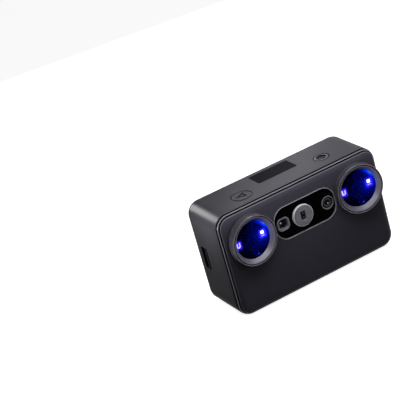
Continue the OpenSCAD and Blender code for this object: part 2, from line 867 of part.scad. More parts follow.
module hatch_pin() {
    color("silver") bar_y(pin_r, pin_front, pin_rear, hinge_x, hinge_z);
}

module hatch_latch() {
    color([0.42, 0.42, 0.44]) {
        box([half_w - pull_in + 0.1, pull_y - pull_w / 2 + 0.4, pull_z - thumb_h / 2],
            [half_w - 0.2, pull_y + pull_w / 2 - 0.4, pull_z + thumb_h / 2]);
        box([latch_back + 0.1, pull_y - 2, pull_z - thumb_h / 2],
            [half_w - 0.4, pull_y + 2, pull_z + thumb_h / 2]);
        box([latch_back, pull_y - latch_w / 2, latch_low],
            [latch_back + latch_t, pull_y + latch_w / 2, latch_high]);
    }
}

module latch_spring() {
    color("silver") translate([latch_back + latch_t / 2, pull_y, latch_low - latch_spring_l])
        cylinder(h = latch_spring_l, r = 0.6);
}

module strap_bar() {
    color("silver") translate([strap_bar_x, eyelet_y, eyelet_z - eyelet_h / 2 - strap_bar_seat])
        cylinder(h = eyelet_h + 2 * strap_bar_seat, r = strap_bar_r);
}

module speaker() {
    color([0.1, 0.1, 0.1]) level(speaker_w, 11, 1.5, wall, wall + 3.8, speaker_x, speaker_y);
}

module battery_tray() {
    color([0.14, 0.14, 0.15]) difference() {
        union() {
            box([-tray_x, tray_front, tray_z], [tray_x, tray_rear, tray_top]);
            for (side = [LEFT, RIGHT])
                box([side * post_x - post_r - 1, tray_rear - 1, tray_z],
                    [side * post_x + post_r + 1, post_rear + post_r + 0.5, tray_z + tray_t]);
        }
        box([-tray_x + tray_t, tray_front + tray_t, tray_z + tray_t],
            [tray_x + 1, tray_rear - tray_t, tray_top - tray_t]);
        frame_screw_shanks(fit);
    }
}

module battery_pack() {
    length = 2 * battery_x;
    low = tray_z + tray_t;
    pack_h = tray_h - 2 * tray_t - 0.4;
    pack_d = tray_rear - tray_front - 2 * tray_t - 0.6;
    color([0.16, 0.2, 0.32])
        translate([-battery_x, (tray_front + tray_rear) / 2, low + pack_h / 2]) rotate([90, 0, 90])
            linear_extrude(length) rrect(pack_d, pack_h, 2.5);
}

module battery_contacts() {
    color("gold") for (i = [-1, 0, 1])
        box([-battery_x - contact_t, (tray_front + tray_rear) / 2 + i * 5 - 1, tray_z + 12],
            [-battery_x, (tray_front + tray_rear) / 2 + i * 5 + 1, tray_z + 18]);
}

module main_board() {
    color([0.05, 0.25, 0.14]) difference() {
        upright(board_w, board_high - board_low, 1.5, board_front, board_rear,
            0, (board_high + board_low) / 2);
        frame_screw_shanks(fit);
    }
}

module heat_sink() {
    fins = 7;
    low = tray_top + 2;
    color("silver") {
        box([-sink_w / 2, board_front - sink_base, low], [sink_w / 2, board_front, low + sink_h]);
        for (i = [0 : fins - 1])
            translate([-sink_w / 2 + i * (sink_w - fin_t) / (fins - 1), board_front - sink_d, low])
                cube([fin_t, sink_d - sink_base / 2, sink_h]);
    }
}

module optical_bench() {
    bench_x = in_x - 1.8;
    ear_w = bench_x - rib_x - 1.5;
    mount_l = bench_back + 0.8 + barrel_back - camera_board_t;
    color([0.55, 0.56, 0.58]) difference() {
        union() {
            box([-bench_x, bench_front, bench_low], [bench_x, bench_rear, bench_high]);
            for (side = [LEFT, RIGHT]) {
                translate([side * (bench_x - ear_w / 2) - ear_w / 2, bench_front, bench_high - 1])
                    cube([ear_w, bench_t, rib_high + rib_high_h - bench_high]);
                lens_frame(side)
                    translate([-camera_board_w / 2, -camera_board_w / 2, -bench_back - 0.8])
                        cube([camera_board_w, camera_board_w, mount_l]);
            }
        }
        frame_screw_shanks(fit);
        box([half_w - port_set - port_l - 0.5, bench_front - 1, port_z - port_h / 2 - board_t - 0.5],
            [half_w, bench_rear + 1, port_z + port_h / 2 + 0.5]);
    }
}

module frame_screws() {
    color([0.2, 0.2, 0.21]) frame_screw_places() difference() {
        union() {
            cylinder(h = screw_head_t, r = cap_head_r);
            translate([0, 0, -screw_l]) cylinder(h = screw_l + 0.5, r = screw_r);
        }
        translate([0, 0, screw_head_t - 0.7]) cylinder(h = 1, r = 0.8, $fn = 6);
    }
}

// Turned lens ring: flank, lip with its fine groove, cone down to the window, rear stem
module lens_ring(side) {
    lip_z = ring_h - lip_drop;
    shoulder = lip_z - cone_drop;
    groove = 0.25;
    color([0.36, 0.36, 0.38]) difference() {
        lens_frame(side) rotate_extrude() difference() {
            polygon([
                [bore_r, -stem_l], [stem_r, -stem_l], [stem_r, -ring_seat - 2], [ring_r, -ring_seat - 2],
                [ring_r, ring_h - 0.5], [ring_r - 0.5, ring_h], [lip_r + 0.6, ring_h],
                [lip_r + 0.6, ring_h - 0.7], [lip_r, ring_h - 0.7], [lip_r, lip_z],
                [window_r, shoulder], [window_r, window_z], [bore_r, window_z]
            ]);
            for (i = [0 : 3])
                translate([ring_r - groove, 0.9 + i * 1.15]) square([1, groove]);
        }
        lens_frame(side) difference() {
            translate([0, 0, -big]) cylinder(h = 2 * big, r = big / 2);
            translate([0, 0, -big - 1]) cylinder(h = 2 * big + 2, r = stem_r);
            lens_seat_side(side);
        }
    }
}

// Space in front of the ring seat, in a lens's own frame
module lens_seat_side(side) {
    rotate([-90, 0, 0]) rotate([0, 0, side * toe_in]) translate([0, ring_seat, 0])
        box([-big, -2 * big, -big], [big, 0, big]);
}

module left_lens_ring() {
    lens_ring(LEFT);
}

module right_lens_ring() {
    lens_ring(RIGHT);
}

module lens_window(side) {
    color([0.02, 0.03, 0.12]) lens_disc(side, bore_r - 0.1, window_z - window_t, window_z);
}

module left_lens_window() {
    lens_window(LEFT);
}

module right_lens_window() {
    lens_window(RIGHT);
}

module lamp_board(side) {
    color([0.04, 0.04, 0.06]) lens_frame(side) difference() {
        translate([0, 0, lamp_board_z]) cylinder(h = lamp_board_t, r = bore_r - 0.1);
        translate([0, 0, lamp_board_z - 1]) cylinder(h = lamp_board_t + 2, r = barrel_r + 0.2);
    }
}

module left_lamp_board() {
    lamp_board(LEFT);
}

module right_lamp_board() {
    lamp_board(RIGHT);
}

module blue_lamps(side) {
    top = lamp_board_z + lamp_board_t;
    color([0.15, 0.15, 0.95]) lens_frame(side) for (s = [-1, 1])
        translate([s * lamp_offset, 0, top]) linear_extrude(lamp_t) rrect(4.4, 5.6, 0.5);
}

module left_blue_lamps() {
    blue_lamps(LEFT);
}

module right_blue_lamps() {
    blue_lamps(RIGHT);
}

module camera_barrel(side) {
    color([0.05, 0.05, 0.06]) lens_frame(side) difference() {
        translate([0, 0, barrel_back]) cylinder(h = barrel_front - barrel_back, r = barrel_r);
        translate([0, 0, barrel_front - 1.4]) cylinder(h = 3, r = barrel_r - 1);
    }
}

module left_camera_barrel() {
    camera_barrel(LEFT);
}

module right_camera_barrel() {
    camera_barrel(RIGHT);
}

module camera_lens(side) {
    lens_edge = barrel_r - 1.1;
    dome = 0.8;
    ball = (lens_edge * lens_edge + dome * dome) / (2 * dome);
    color([0.05, 0.08, 0.2]) lens_frame(side) translate([0, 0, barrel_front - 1.4]) intersection() {
        cylinder(h = dome + 0.3, r = lens_edge);
        translate([0, 0, dome + 0.3 - ball]) sphere(ball, $fn = 240);
    }
}

module left_camera_lens() {
    camera_lens(LEFT);
}

module right_camera_lens() {
    camera_lens(RIGHT);
}

module camera_board(side) {
    color([0.05, 0.25, 0.14]) lens_frame(side)
        translate([-camera_board_w / 2, -camera_board_w / 2, barrel_back - camera_board_t])
            cube([camera_board_w, camera_board_w, camera_board_t]);
}

module left_camera_board() {
    camera_board(LEFT);
}

module right_camera_board() {
    camera_board(RIGHT);
}

module window_bezel() {
    color([0.5, 0.5, 0.52]) difference() {
        upright(pill_w, pill_h, pill_r, front_y - bezel_proud, front_y + pill_seat, pill_x, pill_z);
        upright(pill_w - 2 * pill_rim, pill_h - 2 * pill_rim, pill_r - pill_rim,
            front_y - 1, front_y + pill_seat + 1, pill_x, pill_z);
    }
}

module sensor_window() {
    color([0.01, 0.01, 0.015]) difference() {
        upright(pill_w - 2 * glass_inset, pill_h - 2 * glass_inset, pill_r - glass_inset,
            front_y, front_y + pill_seat, pill_x, pill_z);
        sensor_ports(0.1, front_y - 1, front_y + 3);
    }
}

module projector_bezel() {
    face = front_y - projector_h;
    color([0.55, 0.55, 0.57]) difference() {
        bar_y(projector_r, face, module_front, projector_x, pill_z);
        upright(slit_w, slit_h, 0.4, face - 1, module_front + 1, projector_x, pill_z);
        difference() {
            bar_y(projector_r - 0.8, face - 1, face + 0.2, projector_x, pill_z);
            bar_y(projector_r - 1.1, face - 2, face + 1, projector_x, pill_z);
        }
    }
}

module projector_lens() {
    color([0.05, 0.06, 0.08])
        upright(slit_w - 0.2, slit_h - 0.2, 0.35, front_y - projector_h + 1, module_front,
            projector_x, pill_z);
}

module projector_module() {
    color([0.1, 0.1, 0.11])
        upright(projector_module_w, projector_module_w, 1, module_front, bench_front, projector_x, pill_z);
}

module colour_camera() {
    color([0.4, 0.4, 0.42]) {
        difference() {
            bar_y(colour_r, front_y - sensor_proud, module_front, colour_x, pill_z);
            bar_y(colour_r - 0.9, front_y - 1, front_y + 1.2, colour_x, pill_z);
        }
        upright(sensor_module_w, sensor_module_w, 0.8, module_front, bench_front, colour_x, pill_z);
    }
}

module colour_camera_lens() {
    edge = colour_r - 1;
    dome = 0.6;
    ball = (edge * edge + dome * dome) / (2 * dome);
    color([0.02, 0.03, 0.05]) intersection() {
        bar_y(edge, front_y + 0.3, front_y + 1.2, colour_x, pill_z);
        translate([colour_x, front_y + 0.3 + ball, pill_z]) rotate([90, 0, 0]) sphere(ball, $fn = 240);
    }
}

module fill_light_bezel() {
    color([0.5, 0.5, 0.52]) difference() {
        upright(fill_w, fill_w, 3, front_y - sensor_proud, module_front, fill_x, pill_z);
        upright(fill_w - 2.6, fill_w - 2.6, 1.8, front_y - 1, module_front + 1, fill_x, pill_z);
    }
}

module fill_light() {
    color([0.75, 0.72, 0.5]) {
        bar_y(fill_lamp_r, front_y + 1, module_front + 0.2, fill_x, pill_z);
        upright(sensor_module_w, sensor_module_w, 0.8, module_front, bench_front, fill_x, pill_z);
    }
}

middle_frame();
front_trim();
front_cover();
rear_trim();
rear_bezel();
screen_glass();
display_module();
base_pad();
case_screws();
tripod_insert();
rating_label();
serial_label();
top_window();
antenna_board();
scan_button();
power_button();
scan_spring();
power_spring();
button_board();
button_switches();
usb_port();
usb_board();
charge_indicators();
side_hatch();
hatch_pin();
hatch_latch();
latch_spring();
strap_bar();
speaker();
battery_tray();
battery_pack();
battery_contacts();
main_board();
heat_sink();
optical_bench();
frame_screws();
left_lens_ring();
right_lens_ring();
left_lens_window();
right_lens_window();
left_lamp_board();
right_lamp_board();
left_blue_lamps();
right_blue_lamps();
left_camera_barrel();
right_camera_barrel();
left_camera_lens();
right_camera_lens();
left_camera_board();
right_camera_board();
window_bezel();
sensor_window();
projector_bezel();
projector_lens();
projector_module();
colour_camera();
colour_camera_lens();
fill_light_bezel();
fill_light();
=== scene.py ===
"""Looks of a handheld three-d scanner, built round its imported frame.

The frame holds every piece at its real size. This file gives each one its finish and remakes the
optical pieces, the controls and the small metal parts, whose turned and moulded detail the frame
leaves plain. The frame is in metres; shapes here are written in millimetres and scaled by MM.
"""

import logging
import math
from dataclasses import dataclass, field
from enum import Enum
from typing import Any, Dict, List, Optional, Protocol, Sequence, Tuple

import bmesh
import bpy
import numpy as np
from mathutils import Matrix, Vector


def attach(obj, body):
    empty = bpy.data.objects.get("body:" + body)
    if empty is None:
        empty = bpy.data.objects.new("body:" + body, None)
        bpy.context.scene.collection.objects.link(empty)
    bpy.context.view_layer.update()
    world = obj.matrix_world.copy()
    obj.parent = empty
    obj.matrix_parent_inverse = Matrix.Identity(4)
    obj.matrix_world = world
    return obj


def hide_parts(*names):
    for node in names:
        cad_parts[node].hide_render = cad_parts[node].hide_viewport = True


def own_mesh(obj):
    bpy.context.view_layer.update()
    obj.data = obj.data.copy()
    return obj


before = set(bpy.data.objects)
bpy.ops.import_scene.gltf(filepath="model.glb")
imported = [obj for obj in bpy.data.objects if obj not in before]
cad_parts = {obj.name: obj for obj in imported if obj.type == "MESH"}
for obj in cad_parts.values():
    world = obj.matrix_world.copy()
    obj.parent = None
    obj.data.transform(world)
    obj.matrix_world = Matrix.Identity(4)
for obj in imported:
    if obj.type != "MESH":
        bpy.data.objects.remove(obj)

LOG = logging.getLogger("scanner")
MM = 0.001

Array = np.ndarray
Pair = Tuple[float, float]
Point = Tuple[float, float, float]
Colour = Tuple[float, float, float, float]
Tree = bpy.types.NodeTree
Socket = bpy.types.NodeSocket
Material = bpy.types.Material


@dataclass(frozen=True)
class Box:
    """The box round one of the frame's nodes, in millimetres."""

    low: Point
    high: Point

    @classmethod
    def of(cls, node: str) -> "Box":
        """Measures a node to a micrometre.

        Args:
            node: the node's name.

        Returns:
            Its box.
        """
        corners = np.array([tuple(corner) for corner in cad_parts[node].bound_box]) / MM
        return cls(tuple(np.round(corners.min(0), 3).tolist()), tuple(np.round(corners.max(0), 3).tolist()))

    @property
    def middle(self) -> Point:
        """The box's middle."""
        return tuple(round((low + high) / 2, 3) for low, high in zip(self.low, self.high))

    @property
    def size(self) -> Point:
        """The box's width, depth and height."""
        return tuple(round(high - low, 3) for low, high in zip(self.low, self.high))


# The case: its front plane, half width, height and middle, and the screen glass's outer face.
FRONT_Y = Box.of("front_cover").low[1]
HALF_W, _, CASE_H = Box.of("middle_frame").high
MID_Z = Box.of("middle_frame").middle[2]
GLASS_Y = Box.of("screen_glass").high[1]

# Middles of the lenses and the sensor window, and how far the lenses turn inward.
LENS_X = Box.of("right_blue_lamps").middle[0]
LENS_Z = Box.of("right_lens_ring").middle[2]
TOE_IN = math.radians(4.5)
PILL_X, _, PILL_Z = Box.of("window_bezel").middle

# Under the buttons: the stem's foot, the board's top and the flange, which lies on the spring.
STEM_FOOT = Box.of("scan_button").low[2]
BUTTON_BOARD_Z = Box.of("button_board").high[2]
FLANGE = 1.0
FLANGE_TOP = Box.of("scan_spring").high[2] + FLANGE

# Middles of the two buttons, across and rearward.
SCAN_AT = Box.of("scan_button").middle[:2]
POWER_AT = Box.of("power_button").middle[:2]


class Side(Enum):
    """Which of the two lenses, as seen from the front."""

    LEFT = -1
    RIGHT = 1

    @property
    def word(self) -> str:
        """The side's name in the frame's node names."""
        return self.name.lower()


class Facing(Enum):
    """Side of the case that a part faces, as its across, up and outward directions."""

    FRONT = ((1, 0, 0), (0, 0, 1), (0, -1, 0))
    REAR = ((-1, 0, 0), (0, 0, 1), (0, 1, 0))
    TOP = ((1, 0, 0), (0, 1, 0), (0, 0, 1))
    BASE = ((1, 0, 0), (0, -1, 0), (0, 0, -1))
    RIGHT = ((0, 1, 0), (0, 0, 1), (1, 0, 0))


class Sign(Enum):
    """What is cut in a button."""

    TRIANGLE = "triangle"
    POWER = "power"


class Light(Enum):
    """What a lamp of the studio adds to the picture: light and highlight, or one of them."""

    ALL = "all"
    SHEEN = "sheen"
    FILL = "fill"


@dataclass(frozen=True)
class Seat:
    """Where a part sits: its origin in millimetres and its across, up and outward directions."""

    origin: Point
    across: Point
    up: Point
    out: Point

    @classmethod
    def facing(cls, side: Facing, *origin: float) -> "Seat":
        """Makes a seat that faces one of the case's sides."""
        return cls(origin, *side.value)

    @classmethod
    def lens(cls, side: Side) -> "Seat":
        """Makes a lens's seat, toed in towards the middle; its outward direction is the optical axis."""
        angle = side.value * TOE_IN
        return cls((side.value * LENS_X, FRONT_Y, LENS_Z), (math.cos(angle), -math.sin(angle), 0.0),
                   (0, 0, 1), (-math.sin(angle), -math.cos(angle), 0.0))

    def place(self, points: Array) -> Array:
        """Moves points from the part's own millimetres into the frame.

        Args:
            points: rows of across, up and outward distances.

        Returns:
            Rows of frame coordinates in metres.
        """
        turn = np.array([self.across, self.up, self.out], float)
        return (np.asarray(points, float) @ turn + np.array(self.origin, float)) * MM


# Shapes


def fillet(corners: Sequence[Sequence[float]], closed: bool = True, steps: int = 4) -> Array:
    """Rounds the corners of a flat outline.

    Each corner is replaced by the arc of its radius that touches both of its sides.

    Args:
        corners: rows of first coordinate, second coordinate and radius.
        closed: whether the last corner joins the first.
        steps: segments of each arc.

    Returns:
        The rounded outline's points.
    """
    rows = np.array(corners, float)
    points: List[Array] = []
    for i, (x, y, radius) in enumerate(rows):
        here = np.array([x, y])
        if radius <= 0 or (not closed and i in (0, len(rows) - 1)):
            points.append(here[None])
            continue
        before, after = rows[i - 1][:2] - here, rows[(i + 1) % len(rows)][:2] - here
        before /= np.linalg.norm(before)
        after /= np.linalg.norm(after)
        half = math.acos(float(np.clip(before @ after, -1, 1))) / 2
        reach = radius / math.tan(half)
        middle = here + (before + after) / np.linalg.norm(before + after) * radius / math.sin(half)
        start, end = here + before * reach - middle, here + after * reach - middle
        first = math.atan2(start[1], start[0])
        sweep = (math.atan2(end[1], end[0]) - first + math.pi) % (2 * math.pi) - math.pi
        turn = first + sweep * np.linspace(0, 1, steps + 1)
        points.append(middle + radius * np.stack([np.cos(turn), np.sin(turn)], 1))
    return np.concatenate(points)


def rounded_rectangle(width: float, height: float, radius: float, steps: int = 8) -> Array:
    """Draws a rounded rectangle round the origin: a quarter circle at each corner, counter-clockwise.

    Args:
        width: its width.
        height: its height.
        radius: its corners' radius.
        steps: segments of each quarter circle.

    Returns:
        Its 4 * (steps + 1) points.
    """
    centres = np.array([width / 2 - radius, height / 2 - radius]) * [[1, 1], [-1, 1], [-1, -1], [1, -1]]
    turn = np.linspace(0, math.pi / 2, steps + 1) + np.arange(4)[:, None] * math.pi / 2
    arcs = centres[:, None] + radius * np.stack([np.cos(turn), np.sin(turn)], -1)
    return arcs.reshape(-1, 2)


def circle(radius: float, count: int = 96) -> Array:
    """Returns a circle's points, counter-clockwise."""
    turn = np.arange(count) * 2 * math.pi / count
    return radius * np.stack([np.cos(turn), np.sin(turn)], 1)


def polar_outline(shape: Array, count: int) -> Array:
    """Reads a star-shaped outline at equal angles.

    The ray at each angle is cut with the side of the outline that it crosses.

    Args:
        shape: the outline's points round the origin.
        count: how many angles.

    Returns:
        One point for each angle.
    """
    side = np.roll(shape, -1, 0) - shape
    rays = circle(1.0, count)
    across, up = rays[:, :1], rays[:, 1:]
    det = across * side[:, 1] - up * side[:, 0]
    det = np.where(np.abs(det) < 1e-12, 1e-12, det)
    far = (shape[:, 0] * side[:, 1] - shape[:, 1] * side[:, 0]) / det
    along = (shape[:, 0] * up - shape[:, 1] * across) / det
    crossed = (far > 0) & (along >= -1e-6) & (along <= 1 + 1e-6)
    return rays * np.where(crossed, far, 0.0).max(1, keepdims=True)


def stack(outlines: Sequence[Tuple[Array, float]]) -> Array:
    """Stacks flat outlines of equal count at their heights into rings of points."""
    return np.stack([np.column_stack([line, np.full(len(line), height)]) for line, height in outlines])


def turned(profile: Array, count: int = 96) -> Array:
    """Turns a profile of radius and height round the outward axis into rings of points."""
    ring = circle(1.0, count)
    return stack([(ring * radius, height) for radius, height in profile])


def carried(width: float, height: float, radius: float, profile: Array, steps: int = 8) -> Array:
    """Carries a profile of inset and height round a rounded rectangle into rings of points."""
    return stack([(rounded_rectangle(width - 2 * inset, height - 2 * inset, max(radius - inset, 0.02), steps),
                   level) for inset, level in profile])


def dome(radius: float, low: float, rise: float, steps: int = 10) -> Array:
    """Draws a lens's profile: a short edge, then a quarter ellipse up to the axis.

    Args:
        radius: the lens's radius.
        low: the height of its rim.
        rise: how far its middle stands over the rim.
        steps: segments of the quarter ellipse.

    Returns:
        Rows of radius and height.
    """
    turn = np.linspace(0, math.pi / 2, steps + 1)
    arc = np.column_stack([radius * np.cos(turn) + 0.005, low + rise * np.sin(turn)])
    return np.concatenate([[(radius, low - 0.2)], arc])


def disc_grid(count: int) -> Tuple[Array, Array]:
    """Maps a square grid onto the unit disc, square ring by square ring.

    Args:
        count: cells along a side.

    Returns:
        The points, row by row, and the outer loop's point numbers in order.
    """
    line = np.linspace(-1, 1, count + 1)
    a, b = np.meshgrid(line, line)
    wide = np.abs(a) > np.abs(b)
    safe_a, safe_b = np.where(wide, a, 1.0), np.where(wide | (b == 0), 1.0, b)
    radius = np.where(wide, a, b)
    turn = np.where(wide, math.pi / 4 * b / safe_a, math.pi / 2 - math.pi / 4 * a / safe_b)
    points = np.stack([radius * np.cos(turn), radius * np.sin(turn)], -1).reshape(-1, 2)
    number = np.arange((count + 1) ** 2).reshape(count + 1, count + 1)
    loop = np.concatenate([number[0, :-1], number[:-1, -1], number[-1, :0:-1], number[:0:-1, 0]])
    return points, loop


def coil(radius: float, wire: float, low: float, high: float, turns: float) -> Array:
    """Winds a round wire into a helix round the outward axis.

    Ring i stands at turn i / count; its points go round the wire in the plane of the axis and the ray.

    Args:
        radius: from the axis to the wire's middle.
        wire: the wire's radius.
        low: height of the first turn's middle.
        high: height of the last turn's middle.
        turns: how many turns.

    Returns:
        Rings of points.
    """
    count = int(turns * 24)
    share = np.linspace(0, 1, count + 1)
    angle = share * turns * 2 * math.pi
    around = np.arange(8) * 2 * math.pi / 8
    reach = radius + wire * np.cos(around)[None, :]
    return np.stack([reach * np.cos(angle)[:, None], reach * np.sin(angle)[:, None],
                     (low + (high - low) * share)[:, None] + wire * np.sin(around)[None, :]], -1)


@dataclass
class Piece:
    """A mesh being made: its points, faces, wrap coordinates and marks, and how it goes into the frame."""

    name: str
    points: List[Array] = field(default_factory=list)
    marks: List[Array] = field(default_factory=list)
    faces: List[List[int]] = field(default_factory=list)
    wraps: List[Array] = field(default_factory=list)
    slots: List[int] = field(default_factory=list)
    size: int = 0

    def _put(self, points: Array, seat: Seat, mark: Optional[Array] = None) -> int:
        """Adds points.

        Args:
            points: rows in the seat's millimetres.
            seat: where the part sits.
            mark: the points' marks, or None for no mark.

        Returns:
            The number of the first point.
        """
        first = self.size
        self.points.append(seat.place(points))
        self.marks.append(np.zeros(len(points)) if mark is None else mark)
        self.size += len(points)
        return first

    def _add(self, faces: Array, wraps: Array, slot: int) -> None:
        """Adds faces.

        Args:
            faces: rows of point numbers.
            wraps: the wrap coordinates of each face's corners.
            slot: the material's number.
        """
        self.faces += faces.tolist()
        self.wraps.append(wraps.reshape(-1, 2))
        self.slots += [slot] * len(faces)

    def skin(self, rings: Array, seat: Seat, loop: bool = False, start: bool = False, end: bool = False,
             slot: int = 0, at: Sequence[float] = (0.0, 0.0, 0.0)) -> "Piece":
        """Joins rings of points with four-sided faces, and fills the ends asked for.

        The wrap coordinates are the distance round a ring's mean radius and the distance along the
        profile, both in metres.

        Args:
            rings: points in the seat's millimetres, ring by ring.
            seat: where the part sits.
            loop: whether the last ring joins the first.
            start: whether the first ring is filled.
            end: whether the last ring is filled.
            slot: the material's number.
            at: how far the rings are moved across, up and outward.

        Returns:
            This piece.
        """
        rings = rings + np.array(at)
        count, around = rings.shape[:2]
        first = self._put(rings.reshape(-1, 3), seat)
        hop = np.linalg.norm(np.diff(np.concatenate([rings, rings[:1]]), axis=0), axis=2).mean(1) * MM
        along = np.concatenate([[0], np.cumsum(hop)])
        radius = float(np.linalg.norm(rings[..., :2] - rings[..., :2].mean((0, 1)), axis=2).mean()) * MM
        turn = np.arange(around + 1) / around * 2 * math.pi * radius
        left, right = turn[:-1], turn[1:]
        here = np.arange(around)
        after = (here + 1) % around
        row = np.arange(count if loop else count - 1)[:, None]
        low, high = first + row * around, first + (row + 1) % count * around
        faces = np.stack([low + here, low + after, high + after, high + here], -1)
        corners = ((left, along[row]), (right, along[row]), (right, along[row + 1]), (left, along[row + 1]))
        wraps = np.stack([np.stack(np.broadcast_arrays(u, v), -1) for u, v in corners], -2)
        self._add(faces.reshape(-1, 4), wraps, slot)
        for wanted, row, sense in ((start, 0, -1), (end, count - 1, 1)):
            if wanted:
                hub = self._put(rings[row].mean(0)[None], seat)
                edge = first + row * around
                order = [0, 1, 2] if sense > 0 else [0, 2, 1]
                fan = np.stack([np.full(around, hub), edge + here, edge + after], 1)[:, order]
                level = np.full(around, along[row])
                wrap = np.stack([np.stack([(left + right) / 2, level + sense * radius], -1),
                                 np.stack([left, level], -1), np.stack([right, level], -1)], 1)[:, order]
                self._add(fan, wrap, slot)
        return self

    def solid(self, rings: Array, seat: Seat, slot: int = 0,
              at: Sequence[float] = (0.0, 0.0, 0.0)) -> "Piece":
        """Joins rings of points into a skin that is filled at both ends."""
        return self.skin(rings, seat, start=True, end=True, slot=slot, at=at)

    def sheet(self, grid: Array, heights: Array, seat: Seat, mark: Array, slot: int = 0) -> "Piece":
        """Adds a square grid of points with four-sided faces, such as a button's engraved top.

        Args:
            grid: rows of across and up distances, row by row.
            heights: the outward distance of each point.
            seat: where the part sits.
            mark: each point's mark.
            slot: the material's number.

        Returns:
            This piece.
        """
        side = int(round(math.sqrt(len(grid))))
        first = self._put(np.column_stack([grid, heights]), seat, mark)
        low = (np.arange(side - 1)[:, None] * side + np.arange(side - 1)).reshape(-1, 1)
        corners = low + np.array([0, 1, side + 1, side])
        self._add(first + corners, grid[corners] * MM, slot)
        return self

    def finish(self, body: str, slot: str, finishes: Sequence[str], replaces: Sequence[str] = (),
               sharp: float = 35.0) -> bpy.types.Object:
        """Makes the Blender object, merges its seams, turns its faces outward and ties it to the frame.

        Args:
            body: the frame's body that the piece rides on.
            slot: the record's material slot; not used.
            finishes: the names of the piece's finishes, in number order.
            replaces: the frame's nodes that the piece stands for.
            sharp: the angle in degrees over which an edge shades sharp.

        Returns:
            The object.
        """
        mesh = bpy.data.meshes.new(self.name)
        mesh.from_pydata(np.concatenate(self.points).tolist(), [], self.faces)
        wrap = mesh.uv_layers.new(name="wrap")
        wrap.data.foreach_set("uv", np.concatenate(self.wraps).astype(np.float32).ravel())
        layer = mesh.attributes.new("mark", "FLOAT", "POINT")
        layer.data.foreach_set("value", np.concatenate(self.marks).astype(np.float32))
        mesh.polygons.foreach_set("material_index", np.array(self.slots, np.int32))
        mesh.polygons.foreach_set("use_smooth", np.ones(len(mesh.polygons), bool))
        form = bmesh.new()
        form.from_mesh(mesh)
        bmesh.ops.remove_doubles(form, verts=form.verts, dist=2e-7)
        bmesh.ops.recalc_face_normals(form, faces=form.faces)
        form.to_mesh(mesh)
        form.free()
        for name in finishes:
            mesh.materials.append(bpy.data.materials[name])
        mesh.set_sharp_from_angle(angle=math.radians(sharp))
        obj = bpy.data.objects.new(self.name, mesh)
        bpy.context.scene.collection.objects.link(obj)
        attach(obj, body)
        if replaces:
            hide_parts(*replaces)
        LOG.info("%s: %d faces", self.name, len(mesh.polygons))
        return obj


# Finishes


def linear(code: str, share: float = 1.0) -> Colour:
    """Turns an sRGB hex colour into Blender's linear values.

    Args:
        code: six hex digits after a hash.
        share: the share of the brightness that is kept.

    Returns:
        Linear red, green and blue, with alpha 1.
    """
    parts = [int(code[i:i + 2], 16) / 255 for i in (1, 3, 5)]
    return tuple(share * (p / 12.92 if p <= 0.04045 else ((p + 0.055) / 1.055) ** 2.4)
                 for p in parts) + (1.0,)


def add(tree: Tree, kind: str, inputs: Optional[Dict[Any, Any]] = None, **settings: Any) -> Any:
    """Adds one shader node.

    Args:
        tree: the node tree.
        kind: the node's type name without its ShaderNode prefix.
        inputs: values or output sockets, by input name or index.
        **settings: the node's own properties.

    Returns:
        The new node.
    """
    node = tree.nodes.new("ShaderNode" + kind)
    for name, value in settings.items():
        setattr(node, name, value)
    for key, value in (inputs or {}).items():
        if isinstance(value, Socket):
            tree.links.new(value, node.inputs[key])
        else:
            node.inputs[key].default_value = value
    return node


def new_material(name: str) -> Tuple[Material, Tree, Any]:
    """Makes an empty node material.

    Args:
        name: the material's name.

    Returns:
        The material, its tree and its output node.
    """
    material = bpy.data.materials.new(name)
    material.use_nodes = True
    tree = material.node_tree
    tree.nodes.clear()
    return material, tree, add(tree, "OutputMaterial")


class Finish(Protocol):
    """What every finish offers: its name and a way to make its material."""

    @property
    def name(self) -> str:
        """The finish's name: its process and its material."""

    def build(self) -> Material:
        """Makes the material."""


